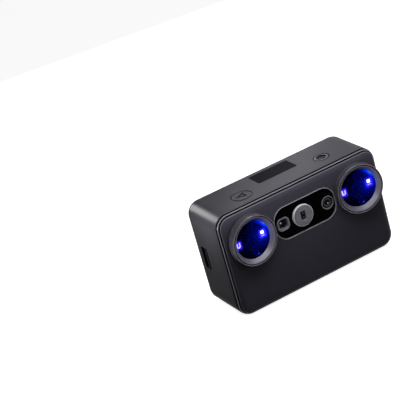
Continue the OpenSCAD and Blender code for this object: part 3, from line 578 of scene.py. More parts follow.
@dataclass(frozen=True)
class MouldedPlastic:
    """Plastic moulded in a spark-eroded tool: a matt, slightly uneven tone with a fine even grain.

    The real grain is about 0.1 mm wide; it is drawn 0.45 mm wide, as coarse as it needs to show. Bands
    give the lightness at a depth in the case, each from its y in millimetres on; they hold painted shade
    in the gaps between parts and painted highlights on edges. A hollow is a box, given by its middle and
    half size, whose inside is painted nearly black as shade.
    """

    name: str
    colour: str
    roughness: float = 0.5
    specular: float = 0.35
    grain_depth: float = 0.12
    black_paint_and_shade: str = "#000000"
    bands: Tuple[Pair, ...] = ()
    hollow: Tuple[Point, ...] = ()
    grain_mm: float = 0.45
    cloud_mm: float = 22.0
    cloud: float = 0.9
    relief_mm: float = 0.05
    polish: float = 0.05
    band_range: Pair = (-20.0, 30.0)
    hollow_level: float = 0.03

    def outside(self, tree: Tree, place: Socket) -> Socket:
        """Tells the hollow from the rest: no distance to its middle is over its half size.

        Args:
            tree: the node tree.
            place: the Object coordinates.

        Returns:
            A socket that gives 0 in the hollow and 1 out of it.
        """
        middle, half = self.hollow
        shift = tuple(-m / h for m, h in zip(middle, half))
        scaled = add(tree, "Mapping", {"Vector": place, "Location": shift,
                                       "Scale": tuple(1 / (h * MM) for h in half)})
        far = add(tree, "SeparateXYZ", {0: add(tree, "VectorMath", {0: scaled.outputs[0]},
                                               operation="ABSOLUTE").outputs[0]})
        most = add(tree, "Math", {0: far.outputs[0], 1: far.outputs[1]}, operation="MAXIMUM")
        most = add(tree, "Math", {0: most.outputs[0], 1: far.outputs[2]}, operation="MAXIMUM")
        return add(tree, "Math", {0: most.outputs[0], 1: 1.0}, operation="GREATER_THAN").outputs[0]

    def banded(self, tree: Tree, place: Socket) -> Socket:
        """Reads the lightness off the bands, which are stops of a stepped ramp over the depth.

        Args:
            tree: the node tree.
            place: the Object coordinates.

        Returns:
            A socket that gives the lightness.
        """
        low, high = self.band_range
        depth = add(tree, "SeparateXYZ", {0: place}).outputs["Y"]
        share = add(tree, "MapRange", {"Value": depth, "From Min": low * MM, "From Max": high * MM})
        ramp = add(tree, "ValToRGB", {0: share.outputs[0]})
        ramp.color_ramp.interpolation = "CONSTANT"
        stops = ramp.color_ramp.elements
        for i, (start, level) in enumerate(self.bands):
            spot = (start - low) / (high - low)
            stop = stops[i] if i < 2 else stops.new(spot)
            stop.position, stop.color = spot, (level, level, level, 1.0)
        return ramp.outputs[0]

    def build(self) -> Material:
        """Makes the material: a slow noise moves the tone, a fine one the sheen and relief.

        Marks are painted; the bands and the hollow give painted light and shade, and a dark band also loses
        its sheen.

        Returns:
            The material.
        """
        material, tree, out = new_material(self.name)
        place = add(tree, "TexCoord").outputs["Object"]
        slow = add(tree, "TexNoise", {"Vector": place, "Scale": 1 / (self.cloud_mm * MM), "Detail": 2.0})
        tone = add(tree, "Mix", {0: slow.outputs[0], 6: linear(self.colour),
                                 7: linear(self.colour, self.cloud)}, data_type="RGBA")
        mark = add(tree, "Attribute", attribute_name="mark").outputs["Fac"]
        painted = add(tree, "Mix", {0: mark, 6: tone.outputs[2], 7: linear(self.black_paint_and_shade)}, data_type="RGBA")
        specular: Any = self.specular
        if self.bands:
            level = self.banded(tree, place)
            if self.hollow:
                # The hollow's inside is painted nearly black: painted shade in a recess.
                dark = (self.hollow_level,) * 3 + (1.0,)
                level = add(tree, "Mix", {0: self.outside(tree, place), 6: dark, 7: level},
                            data_type="RGBA").outputs[2]
            painted = add(tree, "Mix", {0: 1.0, 6: painted.outputs[2], 7: level}, data_type="RGBA",
                          blend_type="MULTIPLY")
            specular = add(tree, "Math", {0: level, 1: self.specular}, operation="MULTIPLY").outputs[0]
        grain = add(tree, "TexNoise", {"Vector": place, "Scale": 1 / (self.grain_mm * MM), "Detail": 3.0,
                                       "Roughness": 0.6})
        polish = add(tree, "MapRange", {"Value": grain.outputs[0], "To Min": self.roughness - self.polish,
                                        "To Max": self.roughness + self.polish})
        bump = add(tree, "Bump", {"Height": grain.outputs[0], "Strength": self.grain_depth,
                                  "Distance": self.relief_mm * MM})
        shader = add(tree, "BsdfPrincipled", {"Base Color": painted.outputs[2], "Normal": bump.outputs[0],
                                              "Roughness": polish.outputs[0], "Specular IOR Level": specular})
        tree.links.new(shader.outputs[0], out.inputs[0])
        return material


@dataclass(frozen=True)
class WorkedMetal:
    """Turned, blasted, cast or brushed metal: one noise at the tool's mark moves tone, sheen and relief.

    The grain is the mark's size in millimetres along each direction of the coordinates. Blasting
    leaves pits of about 0.1 mm, which are drawn 0.3 mm wide, as coarse as they need to show. A turned
    finish follows the wrap coordinates, first round the part and then across its rings.
    """

    name: str
    colour: str
    roughness: float = 0.4
    grain_mm: Point = (0.3, 0.3, 0.3)
    metallic: float = 1.0
    contrast: float = 0.35
    detail: float = 3.0
    polish: float = 0.08
    depth: float = 0.2
    relief_mm: float = 0.03
    specular: float = 0.15
    wrapped: bool = False

    @classmethod
    def turned(cls, name: str, colour: str, metallic: float = 0.35) -> "WorkedMetal":
        """Makes a lathe's finish: marks 14 mm long round the part and 0.12 mm wide."""
        return cls(name, colour, 0.34, (14.0, 0.12, 1 / MM), metallic, contrast=0.28, detail=4.0, polish=0.1,
                   depth=0.25, relief_mm=0.02, wrapped=True)

    def build(self) -> Material:
        """Makes the material.

        Returns:
            The material.
        """
        material, tree, out = new_material(self.name)
        place = (add(tree, "UVMap", uv_map="wrap").outputs[0] if self.wrapped
                 else add(tree, "TexCoord").outputs["Object"])
        scaled = add(tree, "Mapping", {"Vector": place, "Scale": tuple(1 / (g * MM) for g in self.grain_mm)})
        grain = add(tree, "TexNoise", {"Vector": scaled.outputs[0], "Scale": 1.0, "Detail": self.detail})
        polish = add(tree, "MapRange", {"Value": grain.outputs[0], "To Min": self.roughness - self.polish,
                                        "To Max": self.roughness + self.polish})
        bump = add(tree, "Bump", {"Height": grain.outputs[0], "Strength": self.depth,
                                  "Distance": self.relief_mm * MM})
        tone = add(tree, "Mix", {0: grain.outputs[0], 6: linear(self.colour, 1 - self.contrast),
                                 7: linear(self.colour)}, data_type="RGBA")
        shader = add(tree, "BsdfPrincipled", {"Base Color": tone.outputs[2], "Metallic": self.metallic,
                                              "Roughness": polish.outputs[0], "Normal": bump.outputs[0],
                                              "Specular IOR Level": self.specular})
        tree.links.new(shader.outputs[0], out.inputs[0])
        return material


@dataclass(frozen=True)
class ClearGlass:
    """Tinted window glass: a dimmed view of what lies behind it under a hard clear gloss.

    The glow holds the colours of a painted glow that the glass gives off for the lamps' scattered
    light, from none at mark 0 to white-hot at mark 1.
    """

    name: str
    tint: str
    sheen: str
    gloss: float = 0.05
    wave_mm: float = 6.0
    index: float = 1.45
    glow: Tuple[Tuple[float, str], ...] = ((0.0, "#000000"), (0.25, "#00076f"), (0.6, "#001de1"),
                                           (0.85, "#0050ff"), (1.0, "#aa81ff"))

    def build(self) -> Material:
        """Makes the material: tinted see-through under a Fresnel reflection; marks give off the painted glow.

        Returns:
            The material.
        """
        material, tree, out = new_material(self.name)
        place = add(tree, "TexCoord").outputs["Object"]
        wave = add(tree, "TexNoise", {"Vector": place, "Scale": 1 / (self.wave_mm * MM), "Detail": 1.0})
        polish = add(tree, "MapRange", {"Value": wave.outputs[0], "To Min": self.gloss * 0.6,
                                        "To Max": self.gloss * 1.4})
        tone = add(tree, "Mix", {0: wave.outputs[0], 6: linear(self.tint), 7: linear(self.tint, 0.9)},
                   data_type="RGBA")
        clear = add(tree, "BsdfTransparent", {"Color": tone.outputs[2]})
        shine = add(tree, "BsdfAnisotropic", {"Color": linear(self.sheen), "Roughness": polish.outputs[0]})
        rim = add(tree, "Fresnel", {"IOR": self.index})
        both = add(tree, "MixShader", {0: rim.outputs[0], 1: clear.outputs[0], 2: shine.outputs[0]})
        mark = add(tree, "Attribute", attribute_name="mark").outputs["Fac"]
        ramp = add(tree, "ValToRGB", {0: mark})
        stops = ramp.color_ramp.elements
        for i, (spot, colour) in enumerate(self.glow):
            stop = stops[i] if i < 2 else stops.new(spot)
            stop.position, stop.color = spot, linear(colour)
        painted_glow = add(tree, "Emission", {"Color": ramp.outputs[0]})
        lit = add(tree, "AddShader", {0: both.outputs[0], 1: painted_glow.outputs[0]})
        tree.links.new(lit.outputs[0], out.inputs[0])
        return material


@dataclass(frozen=True)
class GlossGlass:
    """Opaque black or coated glass: deep colour under a hard polished surface."""

    name: str
    colour: str
    roughness: float
    specular: float
    wave_mm: float = 9.0

    def build(self) -> Material:
        """Makes the material: a slow noise moves the depth of colour and the polish a little.

        Returns:
            The material.
        """
        material, tree, out = new_material(self.name)
        place = add(tree, "TexCoord").outputs["Object"]
        wave = add(tree, "TexNoise", {"Vector": place, "Scale": 1 / (self.wave_mm * MM), "Detail": 1.0})
        polish = add(tree, "MapRange", {"Value": wave.outputs[0], "To Min": self.roughness * 0.7,
                                        "To Max": self.roughness * 1.3})
        tone = add(tree, "Mix", {0: wave.outputs[0], 6: linear(self.colour), 7: linear(self.colour, 0.7)},
                   data_type="RGBA")
        shader = add(tree, "BsdfPrincipled", {"Base Color": tone.outputs[2], "Roughness": polish.outputs[0],
                                              "Specular IOR Level": self.specular})
        tree.links.new(shader.outputs[0], out.inputs[0])
        return material


@dataclass(frozen=True)
class LitPlastic:
    """A part of a lit lamp: silicone or chip that gives off light, uneven at its own grain."""

    name: str
    colour: str
    strength: float
    grain_mm: float = 1.1
    uneven: float = 0.4

    def build(self) -> Material:
        """Makes the material: a noise moves the light given off either way.

        Returns:
            The material.
        """
        material, tree, out = new_material(self.name)
        place = add(tree, "TexCoord").outputs["Object"]
        grain = add(tree, "TexNoise", {"Vector": place, "Scale": 1 / (self.grain_mm * MM), "Detail": 2.0})
        level = add(tree, "MapRange", {"Value": grain.outputs[0], "From Min": 0.3, "From Max": 0.7,
                                       "To Min": self.strength * (1 - self.uneven),
                                       "To Max": self.strength * (1 + self.uneven)})
        glow = add(tree, "Emission", {"Color": linear(self.colour), "Strength": level.outputs[0]})
        tree.links.new(glow.outputs[0], out.inputs[0])
        return material


FINISHES: Tuple[Finish, ...] = (
    # Hatch, bezel and buttons: PC-ABS from a spark-eroded tool. A matt mid-grey with a softened sheen.
    # Its near-black marks are the buttons' printed signs and painted shade on the power button's dish wall.
    MouldedPlastic("spark_moulded_grey_abs", "#47464c", 0.31, 0.004, black_paint_and_shade="#020203"),
    # Middle frame: the same PC-ABS and grey. Its walls in the two shadow gaps and the eyelet's inside
    # are painted nearly black: painted shade.
    MouldedPlastic("spark_moulded_frame_abs", "#47464c", 0.31, 0.004,
                   bands=((-20, 0.06), (-13.4, 1.0), (21.9, 0.06)),
                   hollow=((-56.2, 13.6, 35.8), (3.65, 4.0, 7.9))),
    # Front plate: ABS from a finer tool. Nearly black, with a thin pale line painted where its edge turns
    # back, a painted highlight; its rim in the seam behind is painted dark as shade.
    MouldedPlastic("fine_moulded_dark_abs", "#3c3a43", 0.4, 0.03, 0.06,
                   bands=((-20, 1.0), (-16.75, 2.3), (-16.25, 0.05))),
    # Trims: satin ABS. A narrow light line round the case, painted a quarter lighter as a highlight,
    # between two gaps painted black as shade.
    MouldedPlastic("satin_trim_abs", "#66656c", 0.24, 0.3, 0.04,
                   bands=((-20, 0.04), (-15.5, 1.25), (-14.55, 0.04), (23.85, 1.0))),
    # Thumb latch: satin ABS. A little lighter and shinier than the hatch, so its ridges show.
    MouldedPlastic("satin_latch_abs", "#58575e", 0.24, 0.3, 0.04),
    # Power button's lip: polished ABS, painted paler than the cap as a painted highlight. A pale ring on
    # the side that faces the light.
    MouldedPlastic("pale_lip_abs_painted_highlight", "#626168", 0.3, 0.01, 0.04),
    # Base pad: coarse moulded ABS. Dull, and painted a shade lighter than the case round it: painted light
    # for the light that the base catches from below.
    MouldedPlastic("spark_moulded_pad_abs", "#515157", 0.6, 0.01),
    # Battery tray, switches, speaker and projector block: moulded nylon. Plain soft black.
    MouldedPlastic("black_moulded_nylon", "#08080a", 0.45, 0.03),
    # Border print behind the screen's glass: black ink on film. Black without a shine of its own.
    MouldedPlastic("mask_black_film", "#0b0b0d", 0.5, 0.02, 0.02),
    # Radio window: fine ribbed polycarbonate. A dark matt patch in the grey top.
    MouldedPlastic("fine_ribbed_window_pc", "#18171c", 0.4, 0.001, 0.05),
    # Labels: polyester film. Smooth and dark, flatter than the pad that they lie in.
    MouldedPlastic("label_polyester", "#26262a", 0.35, 0.03, 0.03),
    # Circuit boards: solder resist. Deep green with a soft gloss.
    MouldedPlastic("green_solder_resist", "#0f3b22", roughness=0.3),
    # Battery: shrink wrap. Dark blue with a soft gloss.
    MouldedPlastic("blue_shrink_wrap", "#243252", roughness=0.3),
    # Fill light's chip: frosted polycarbonate, milky white. The small white dome on the colour camera's
    # lens is the same white, a painted glint.
    MouldedPlastic("frosted_white_pc_and_painted_glint", "#d8d9dc", 0.45, 0.1),
    # Light bars by the port: frosted light guide. Pale grey while the lamps behind are off.
    MouldedPlastic("frosted_light_guide_pc", "#8f9094", 0.45, 0.1),
    # Display: its film while it is off. A dark grey field under the clear glass.
    MouldedPlastic("unlit_display_film", "#3e3e42", 0.35, 0.02, 0.02),
    # Baffles, barrels and the strap bar: matt black lens paint. The same black in the lens rings' grooves
    # and round the buttons' caps is painted shade, put where those recesses fall into shadow.
    MouldedPlastic("matt_black_paint_and_painted_shade", "#08080a", 0.5, 0.04, 0.05),
    # Cone of the lens rings: anodised aluminium off the lathe. Mid-grey, with a soft streaked sheen round it.
    WorkedMetal.turned("turned_grey_anodised_aluminium", "#6a6871"),
    # Flank of the lens rings: the same, anodised darker. Shades down into the front plate.
    WorkedMetal.turned("turned_dark_anodised_aluminium", "#45444b", 0.15),
    # Bezels, bench and heat sink: bead-blasted aluminium. A fine even speckle without direction. The
    # small dots on the projector's two lenses are this metal too, painted glints.
    WorkedMetal("blasted_silver_aluminium", "#6b6a71", metallic=0.5),
    # Crest of the rings and rim of the sensor window: a fresh cut. A thin bright line.
    WorkedMetal("cut_bright_aluminium", "#88878e", 0.35, metallic=0.3),
    # Projector's bezel: lacquered zinc casting. Light grey with a blotchy grain, 1.1 mm wide so it shows.
    WorkedMetal("lacquered_zinc_casting", "#7a7a80", 0.45, (1.1, 1.1, 1.1), 0.1, 0.55),
    # Wall of the projector's bezel: the casting painted almost white beside the black glass, a painted
    # highlight.
    WorkedMetal("zinc_edge_painted_highlight", "#d6d6da", 0.3, metallic=0.1),
    # Tripod insert, port, springs and pin: stainless steel, brushed upright. Fine streaks in its reflections.
    WorkedMetal("brushed_stainless_steel", "#8a8a8c", 0.3, (0.1, 0.1, 2.0)),
    # Screws: blackened steel. Dark metal with a dull glint.
    WorkedMetal("blackened_steel", "#2a2a2c", 0.35),
    # Contacts: gold-plated brass. Small warm glints in the port and the battery bay.
    WorkedMetal("gold_plated_brass", "#c9a24a", 0.25),
    # Lens windows: navy filter glass. Turns all behind it deep blue, with barely a reflection. Its marks
    # give off a painted blue glow for the lamps' light scattered in the glass.
    ClearGlass("navy_filter_glass", "#a2a2ed", "#1d1d24"),
    # Screen's cover: clear glass. Adds a faint clean gloss over the dark display.
    ClearGlass("clear_cover_glass", "#edeff1", "#59595d"),
    # Sensor window: black glass. A deep black field round the three bezels.
    GlossGlass("gloss_black_glass", "#020203", 0.08, 0.005),
    # Lenses: coated glass. Blue-black domes with a small glint.
    GlossGlass("coated_lens_glass", "#05070f", 0.08, 0.03),
    # Lamps' packages: silicone lit from inside. Violet blocks with soft edges.
    LitPlastic("lit_violet_package", "#8238ff", 1.3),
    # The hottest chip: burns out to white through the blue glass.
    LitPlastic("lit_white_chip", "#ffe6dc", 24.0),
    # The other chips: pale lilac strokes on the violet blocks.
    LitPlastic("lit_lilac_chip", "#fff0e8", 7.0),
)

# The frame's own nodes that keep their shape, by the finish that they get.
NODE_FINISHES = {
    "spark_moulded_frame_abs": ["middle_frame"],
    "spark_moulded_grey_abs": ["side_hatch", "rear_bezel"],
    "fine_moulded_dark_abs": ["front_cover"],
    "satin_trim_abs": ["front_trim", "rear_trim"],
    "spark_moulded_pad_abs": ["base_pad"],
    "black_moulded_nylon": ["battery_tray", "button_switches", "speaker", "projector_module"],
    "gloss_black_glass": ["sensor_window"],
    "unlit_display_film": ["display_module"],
    "label_polyester": ["rating_label", "serial_label"],
    "green_solder_resist": ["main_board", "usb_board", "button_board", "antenna_board", "left_camera_board",
                            "right_camera_board"],
    "blue_shrink_wrap": ["battery_pack"],
    "blasted_silver_aluminium": ["optical_bench", "heat_sink"],
    "brushed_stainless_steel": ["hatch_pin"],
    "blackened_steel": ["frame_screws"],
    "gold_plated_brass": ["battery_contacts"],
}


def build_finishes() -> None:
    """Makes every finish's material, and gives the frame's own nodes theirs."""
    for finish in FINISHES:
        finish.build()
    LOG.info("finishes: %d", len(FINISHES))
    for name, nodes in NODE_FINISHES.items():
        for node in nodes:
            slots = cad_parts[node].data.materials
            slots.clear()
            slots.append(bpy.data.materials[name])
            LOG.info("%s: %s", node, name)


# Lenses


@dataclass
class LensRing:
    """Turned ring round a lens: grooved flank, thin bright rim, a groove painted black as shade, and a
    cone to the window.

    The flank's three grooves are its lines; the crest's is the groove. Heights are from the front plate.
    """

    side: Side
    ring_r: float = Box.of("right_lens_ring").size[2] / 2
    ring_h: float = 6.16
    bore_r: float = 12.95
    lip_r: float = 15.15
    window_r: float = 12.5
    stem_r: float = 14.4
    stem_low: float = -3.5
    seat_in: float = 0.6
    line_low: float = 0.8
    line_pitch: float = 1.5
    line_in: float = 0.3
    groove_in: float = 1.3
    cone_in: float = 2.7
    around: int = 192

    def profile(self) -> Array:
        """Draws the section from the foot of the flank over the rim and down the bore.

        Returns:
            Rows of radius and height.
        """
        top, line, floor = self.ring_h, self.ring_r - self.line_in, self.ring_h - self.groove_in
        rows: List[Sequence[float]] = [(self.ring_r, 0.0, 0)]
        for i in range(3):
            low = self.line_low + i * self.line_pitch
            rows += [(self.ring_r, low, 0.04), (line, low + 0.06, 0.03), (line, low + 0.45, 0.03),
                     (self.ring_r, low + 0.51, 0.04)]
        rows += [(self.ring_r, top - 0.3, 0.15), (self.ring_r - 0.12, top, 0.08),
                 (self.lip_r + 0.85, top, 0.06), (self.lip_r + 0.83, floor, 0.05),
                 (self.lip_r + 0.08, floor, 0.05), (self.lip_r + 0.05, top - 0.1, 0.1),
                 (self.lip_r - 0.3, top - 0.2, 0.1),
                 (self.window_r, top - self.cone_in, 0.08), (self.window_r, top - 3.0, 0.0),
                 (self.bore_r, top - 3.0, 0.0), (self.bore_r, self.stem_low, 0.0)]
        return fillet(rows, closed=False, steps=3)

    def seated(self, radius: float) -> Array:
        """Returns a ring of points on the plate's tilted seat.

        Args:
            radius: the ring's radius.

        Returns:
            The ring's points, whose height follows the toe-in across the plate.
        """
        line = circle(radius, self.around)
        fall = math.tan(self.side.value * TOE_IN)
        return np.column_stack([line, -self.seat_in / math.cos(TOE_IN) + line[:, 0] * fall])[None]

    def build(self) -> None:
        """Turns the profile; the foot follows the plate's tilted seat, so it sits in the plate all round."""
        # The groove's floor and the lip's outer wall are painted black: painted shade. The bore is black too.
        cone, flank, black_paint_and_shade, cut = range(4)
        stem = stack([(circle(self.stem_r, self.around), self.stem_low)])
        rings = np.concatenate([stem, self.seated(self.stem_r), self.seated(self.ring_r),
                                turned(self.profile(), self.around)[1:]])
        height = rings[:, 0, 2]
        crest = int(np.argmax(height > self.ring_h - 0.2))
        low = crest + int(np.argmin(height[crest:crest + 16]))
        lip = low + int(np.argmax(height[low:] > self.ring_h - 0.35))
        deep = lip + int(np.argmax(height[lip:] < self.ring_h - 2.9))
        seat = Seat.lens(self.side)
        piece = Piece(f"{self.side.word}_ring")
        for first, last, slot in ((0, crest, flank), (crest, low, cut), (low, lip, black_paint_and_shade), (lip, deep, cone)):
            piece.skin(rings[first:last + 1], seat, slot=slot)
        piece.skin(np.concatenate([rings[deep:], rings[:1]]), seat, slot=black_paint_and_shade)
        piece.finish("case", "ring_aluminium",
                     ["turned_grey_anodised_aluminium", "turned_dark_anodised_aluminium",
                      "matt_black_paint_and_painted_shade", "cut_bright_aluminium"],
                     [f"{self.side.word}_lens_ring"], sharp=30)


@dataclass
class LensCavity:
    """What shows through a lens window: window, lamp board, camera, two side lenses and two lit lamps.

    The view is how far the lamps seem moved when the photograph's camera looks through the window. A
    chip has its middle from its lamp's, its width and height, and its material's number. A faint circle
    of painted light on the window has its middle, its radius, the width of its line and its strength.
    """

    side: Side
    window_top: float = 3.2
    window_r: float = 12.85
    board_top: float = -0.6
    camera_top: float = -0.4
    side_lens_up: float = 8.4
    lamp_x: float = 9.4
    lamp_drop: float = -0.9
    spill_top: float = 4.6
    view: Pair = (-1.3, 1.4)
    hot_chip: Tuple[float, ...] = (-0.4, 1.2, 2.0, 2.2, 1)
    hot_marks: Tuple[Tuple[float, ...], ...] = ((-0.2, -1.3, 2.8, 0.3, 2), (0.0, -2.35, 2.4, 0.3, 2))
    dies: Tuple[Tuple[float, ...], ...] = ((-1.05, 0.3, 0.95, 3.2, 2), (0.85, 0.4, 0.8, 3.0, 2),
                                           (-0.1, -1.1, 1.1, 0.8, 2))
    circles: Tuple[Tuple[float, ...], ...] = (
        (0, -1.2, 5.4, 0.6, 0.08), (0, -1.2, 3.2, 0.5, 0.06), (0, -1.2, 0, 0.8, 0.12),
        (0, -9.3, 1.8, 0.5, 0.10), (0, 8.4, 1.8, 0.5, 0.08), (1.3, -10.6, 0, 0.55, 0.9))

    @property
    def seat(self) -> Seat:
        """The lens's seat."""
        return Seat.lens(self.side)

    def painted_glow(self, spots: Array) -> Array:
        """Returns how strongly the window glows at each spot: painted light that the glass gives off.

        The painted glow falls off with the distance from the right lamp, 0.8 exp(-(d / 4.2)^1.2), from its
        hot chip, 0.5 exp(-(d / 1.5)^2), and faintly from the left lamp, 0.12 exp(-d / 2). It gathers in a
        crescent, a painted reflection where the ring's wall over the right lamp would catch the light, 0.9
        exp(-((r - 12.3) / 2.2)^2 - ((angle - 35 degrees) / 30)^2). The lit rims of the camera and of the two
        side lenses are painted as faint circles, each strength * exp(-((d - radius) / width)^2), and as
        bright spots where the radius is 0. The glow stands over the lamps as the photograph's camera sees
        them through the window, so it is moved by the view.

        Args:
            spots: rows of across and up distances from the window's middle.

        Returns:
            Marks from 0, none, to 1, white-hot.
        """
        x, y = spots[:, 0], spots[:, 1]
        across, rise = x - self.view[0], y - self.lamp_drop - self.view[1]
        near, far = np.hypot(across - self.lamp_x, rise), np.hypot(across + self.lamp_x, rise)
        hot = np.hypot(across - self.lamp_x - self.hot_chip[0], rise - self.hot_chip[1])
        turn = np.degrees(np.arctan2(y, x)) - 35
        rims = sum(strength * np.exp(-((np.hypot(x - right, y - up) - radius) / width) ** 2)
                   for right, up, radius, width, strength in self.circles)
        crescent = 0.9 * np.exp(-((np.hypot(x, y) - 12.3) / 2.2) ** 2 - (turn / 30) ** 2)
        glow = 0.8 * np.exp(-(near / 4.2) ** 1.2) + 0.12 * np.exp(-far / 2.0)
        return np.clip(np.maximum(glow, crescent) + rims + 0.5 * np.exp(-(hot / 1.5) ** 2), 0, 1)

    def window(self) -> None:
        """Makes the window: a ground disc with small chamfers, its top a grid that carries the painted glow.
        """
        top, rim, flat = self.window_top, self.window_r, self.window_r - 0.1
        grid, loop = disc_grid(120)
        piece = Piece(f"{self.side.word}_window")
        piece.sheet(grid * flat, np.full(len(grid), top), self.seat, self.painted_glow(grid * flat))
        edge = stack([(grid[loop] * radius, height) for radius, height in
                      ((flat, top), (rim, top - 0.1), (rim, top - 1.3), (flat, top - 1.4))])
        piece.skin(edge, self.seat, end=True)
        piece.finish("case", "window_glass", ["navy_filter_glass"], [f"{self.side.word}_lens_window"])

    def board(self) -> None:
        """Makes the black lamp board: a ring with a raised collar round the camera."""
        top, rim = self.board_top, self.window_r
        profile = fillet([(6.0, top - 1, 0), (rim, top - 1, 0), (rim, top, 0.05), (7.1, top, 0.05),
                          (7.0, top + 0.35, 0.1), (6.2, top + 0.35, 0.1), (6.0, top, 0)])
        piece = Piece(f"{self.side.word}_lamp_ring").skin(turned(profile), self.seat, loop=True)
        piece.finish("case", "black_plastic", ["matt_black_paint_and_painted_shade"], [f"{self.side.word}_lamp_board"])

    def camera(self) -> None:
        """Makes the camera: a stepped barrel that narrows to a domed lens."""
        top = self.camera_top
        profile = fillet([(0.01, -12, 0), (5.8, -12, 0), (5.8, top, 0.15), (5.0, top, 0.1),
                          (4.85, top - 0.45, 0.05), (4.2, top - 0.45, 0.05), (4.1, top - 0.8, 0.05),
                          (3.5, top - 0.8, 0.05), (3.4, top - 1.3, 0), (0.01, top - 1.3, 0)], closed=False)
        barrel = Piece(f"{self.side.word}_barrel").solid(turned(profile), self.seat)
        barrel.finish("case", "black_plastic", ["matt_black_paint_and_painted_shade"], [f"{self.side.word}_camera_barrel"])
        lens = Piece(f"{self.side.word}_objective").solid(turned(dome(3.42, top - 1.2, 0.9), 64), self.seat)
        lens.finish("case", "lens_glass", ["coated_lens_glass"], [f"{self.side.word}_camera_lens"])

    def side_lenses(self) -> None:
        """Makes the two small lenses over and under the camera, each in its own collar."""
        top = self.board_top
        collar = fillet([(2.3, top - 0.2, 0), (2.3, top + 0.9, 0.15), (1.7, top + 0.9, 0.1),
                         (1.6, top + 0.4, 0.05), (1.6, top - 0.2, 0)])
        piece = Piece(f"{self.side.word}_side_lenses")
        for up in (-self.side_lens_up, self.side_lens_up):
            piece.skin(turned(collar, 48), self.seat, loop=True, at=(0, up, 0))
            piece.solid(turned(dome(1.58, top + 0.2, 0.5), 48), self.seat, 1, (0, up, 0))
        piece.finish("case", "lens_glass", ["matt_black_paint_and_painted_shade", "coated_lens_glass"])

    def lamps(self) -> None:
        """Makes the two lamps: a package with a cup, and chips that give off the light."""
        base = self.board_top
        cup = fillet([(0, base, 0), (0, base + 1.2, 0.2), (0.45, base + 1.2, 0.1), (0.75, base + 0.75, 0)],
                     closed=False)
        piece = Piece(f"{self.side.word}_lamps")
        for lamp, chips in ((-self.lamp_x, self.dies), (self.lamp_x, (self.hot_chip,) + self.hot_marks)):
            piece.solid(carried(4.7, 5.6, 0.6, cup, 4), self.seat, 0, (lamp, self.lamp_drop, 0))
            for x, y, width, height, slot in chips:
                edge = 0.3 * min(width, height)
                chip = np.array([(0, base + 0.7), (0, base + 0.95), (0.2 * edge, base + 1.0),
                                 (edge, base + 1.0)])
                piece.solid(carried(width, height, 0.12, chip, 3), self.seat, int(slot),
                            (lamp + x, self.lamp_drop + y, 0))
        piece.finish("case", "lamp_blue", ["lit_violet_package", "lit_white_chip", "lit_lilac_chip"],
                     [f"{self.side.word}_blue_lamps"])

    def spill(self) -> None:
        """Sets two tiny lamps over the window, whose blue light tints the ring near the lit lamps."""
        for x, power in ((-self.lamp_x, 0.0002), (self.lamp_x, 0.0003)):
            data = bpy.data.lights.new(f"{self.side.word}_spill", "POINT")
            data.energy, data.color, data.shadow_soft_size = power, linear("#4550ff")[:3], 1.5 * MM
            lamp = bpy.data.objects.new(data.name, data)
            bpy.context.scene.collection.objects.link(lamp)
            lamp.location = self.seat.place(np.array([x, self.lamp_drop, self.spill_top]))
            lamp.visible_camera = False

    def build(self) -> None:
        """Builds all that shows through the window."""
        for step in (self.spill, self.window, self.board, self.camera, self.side_lenses, self.lamps):
            step()


# Sensor window


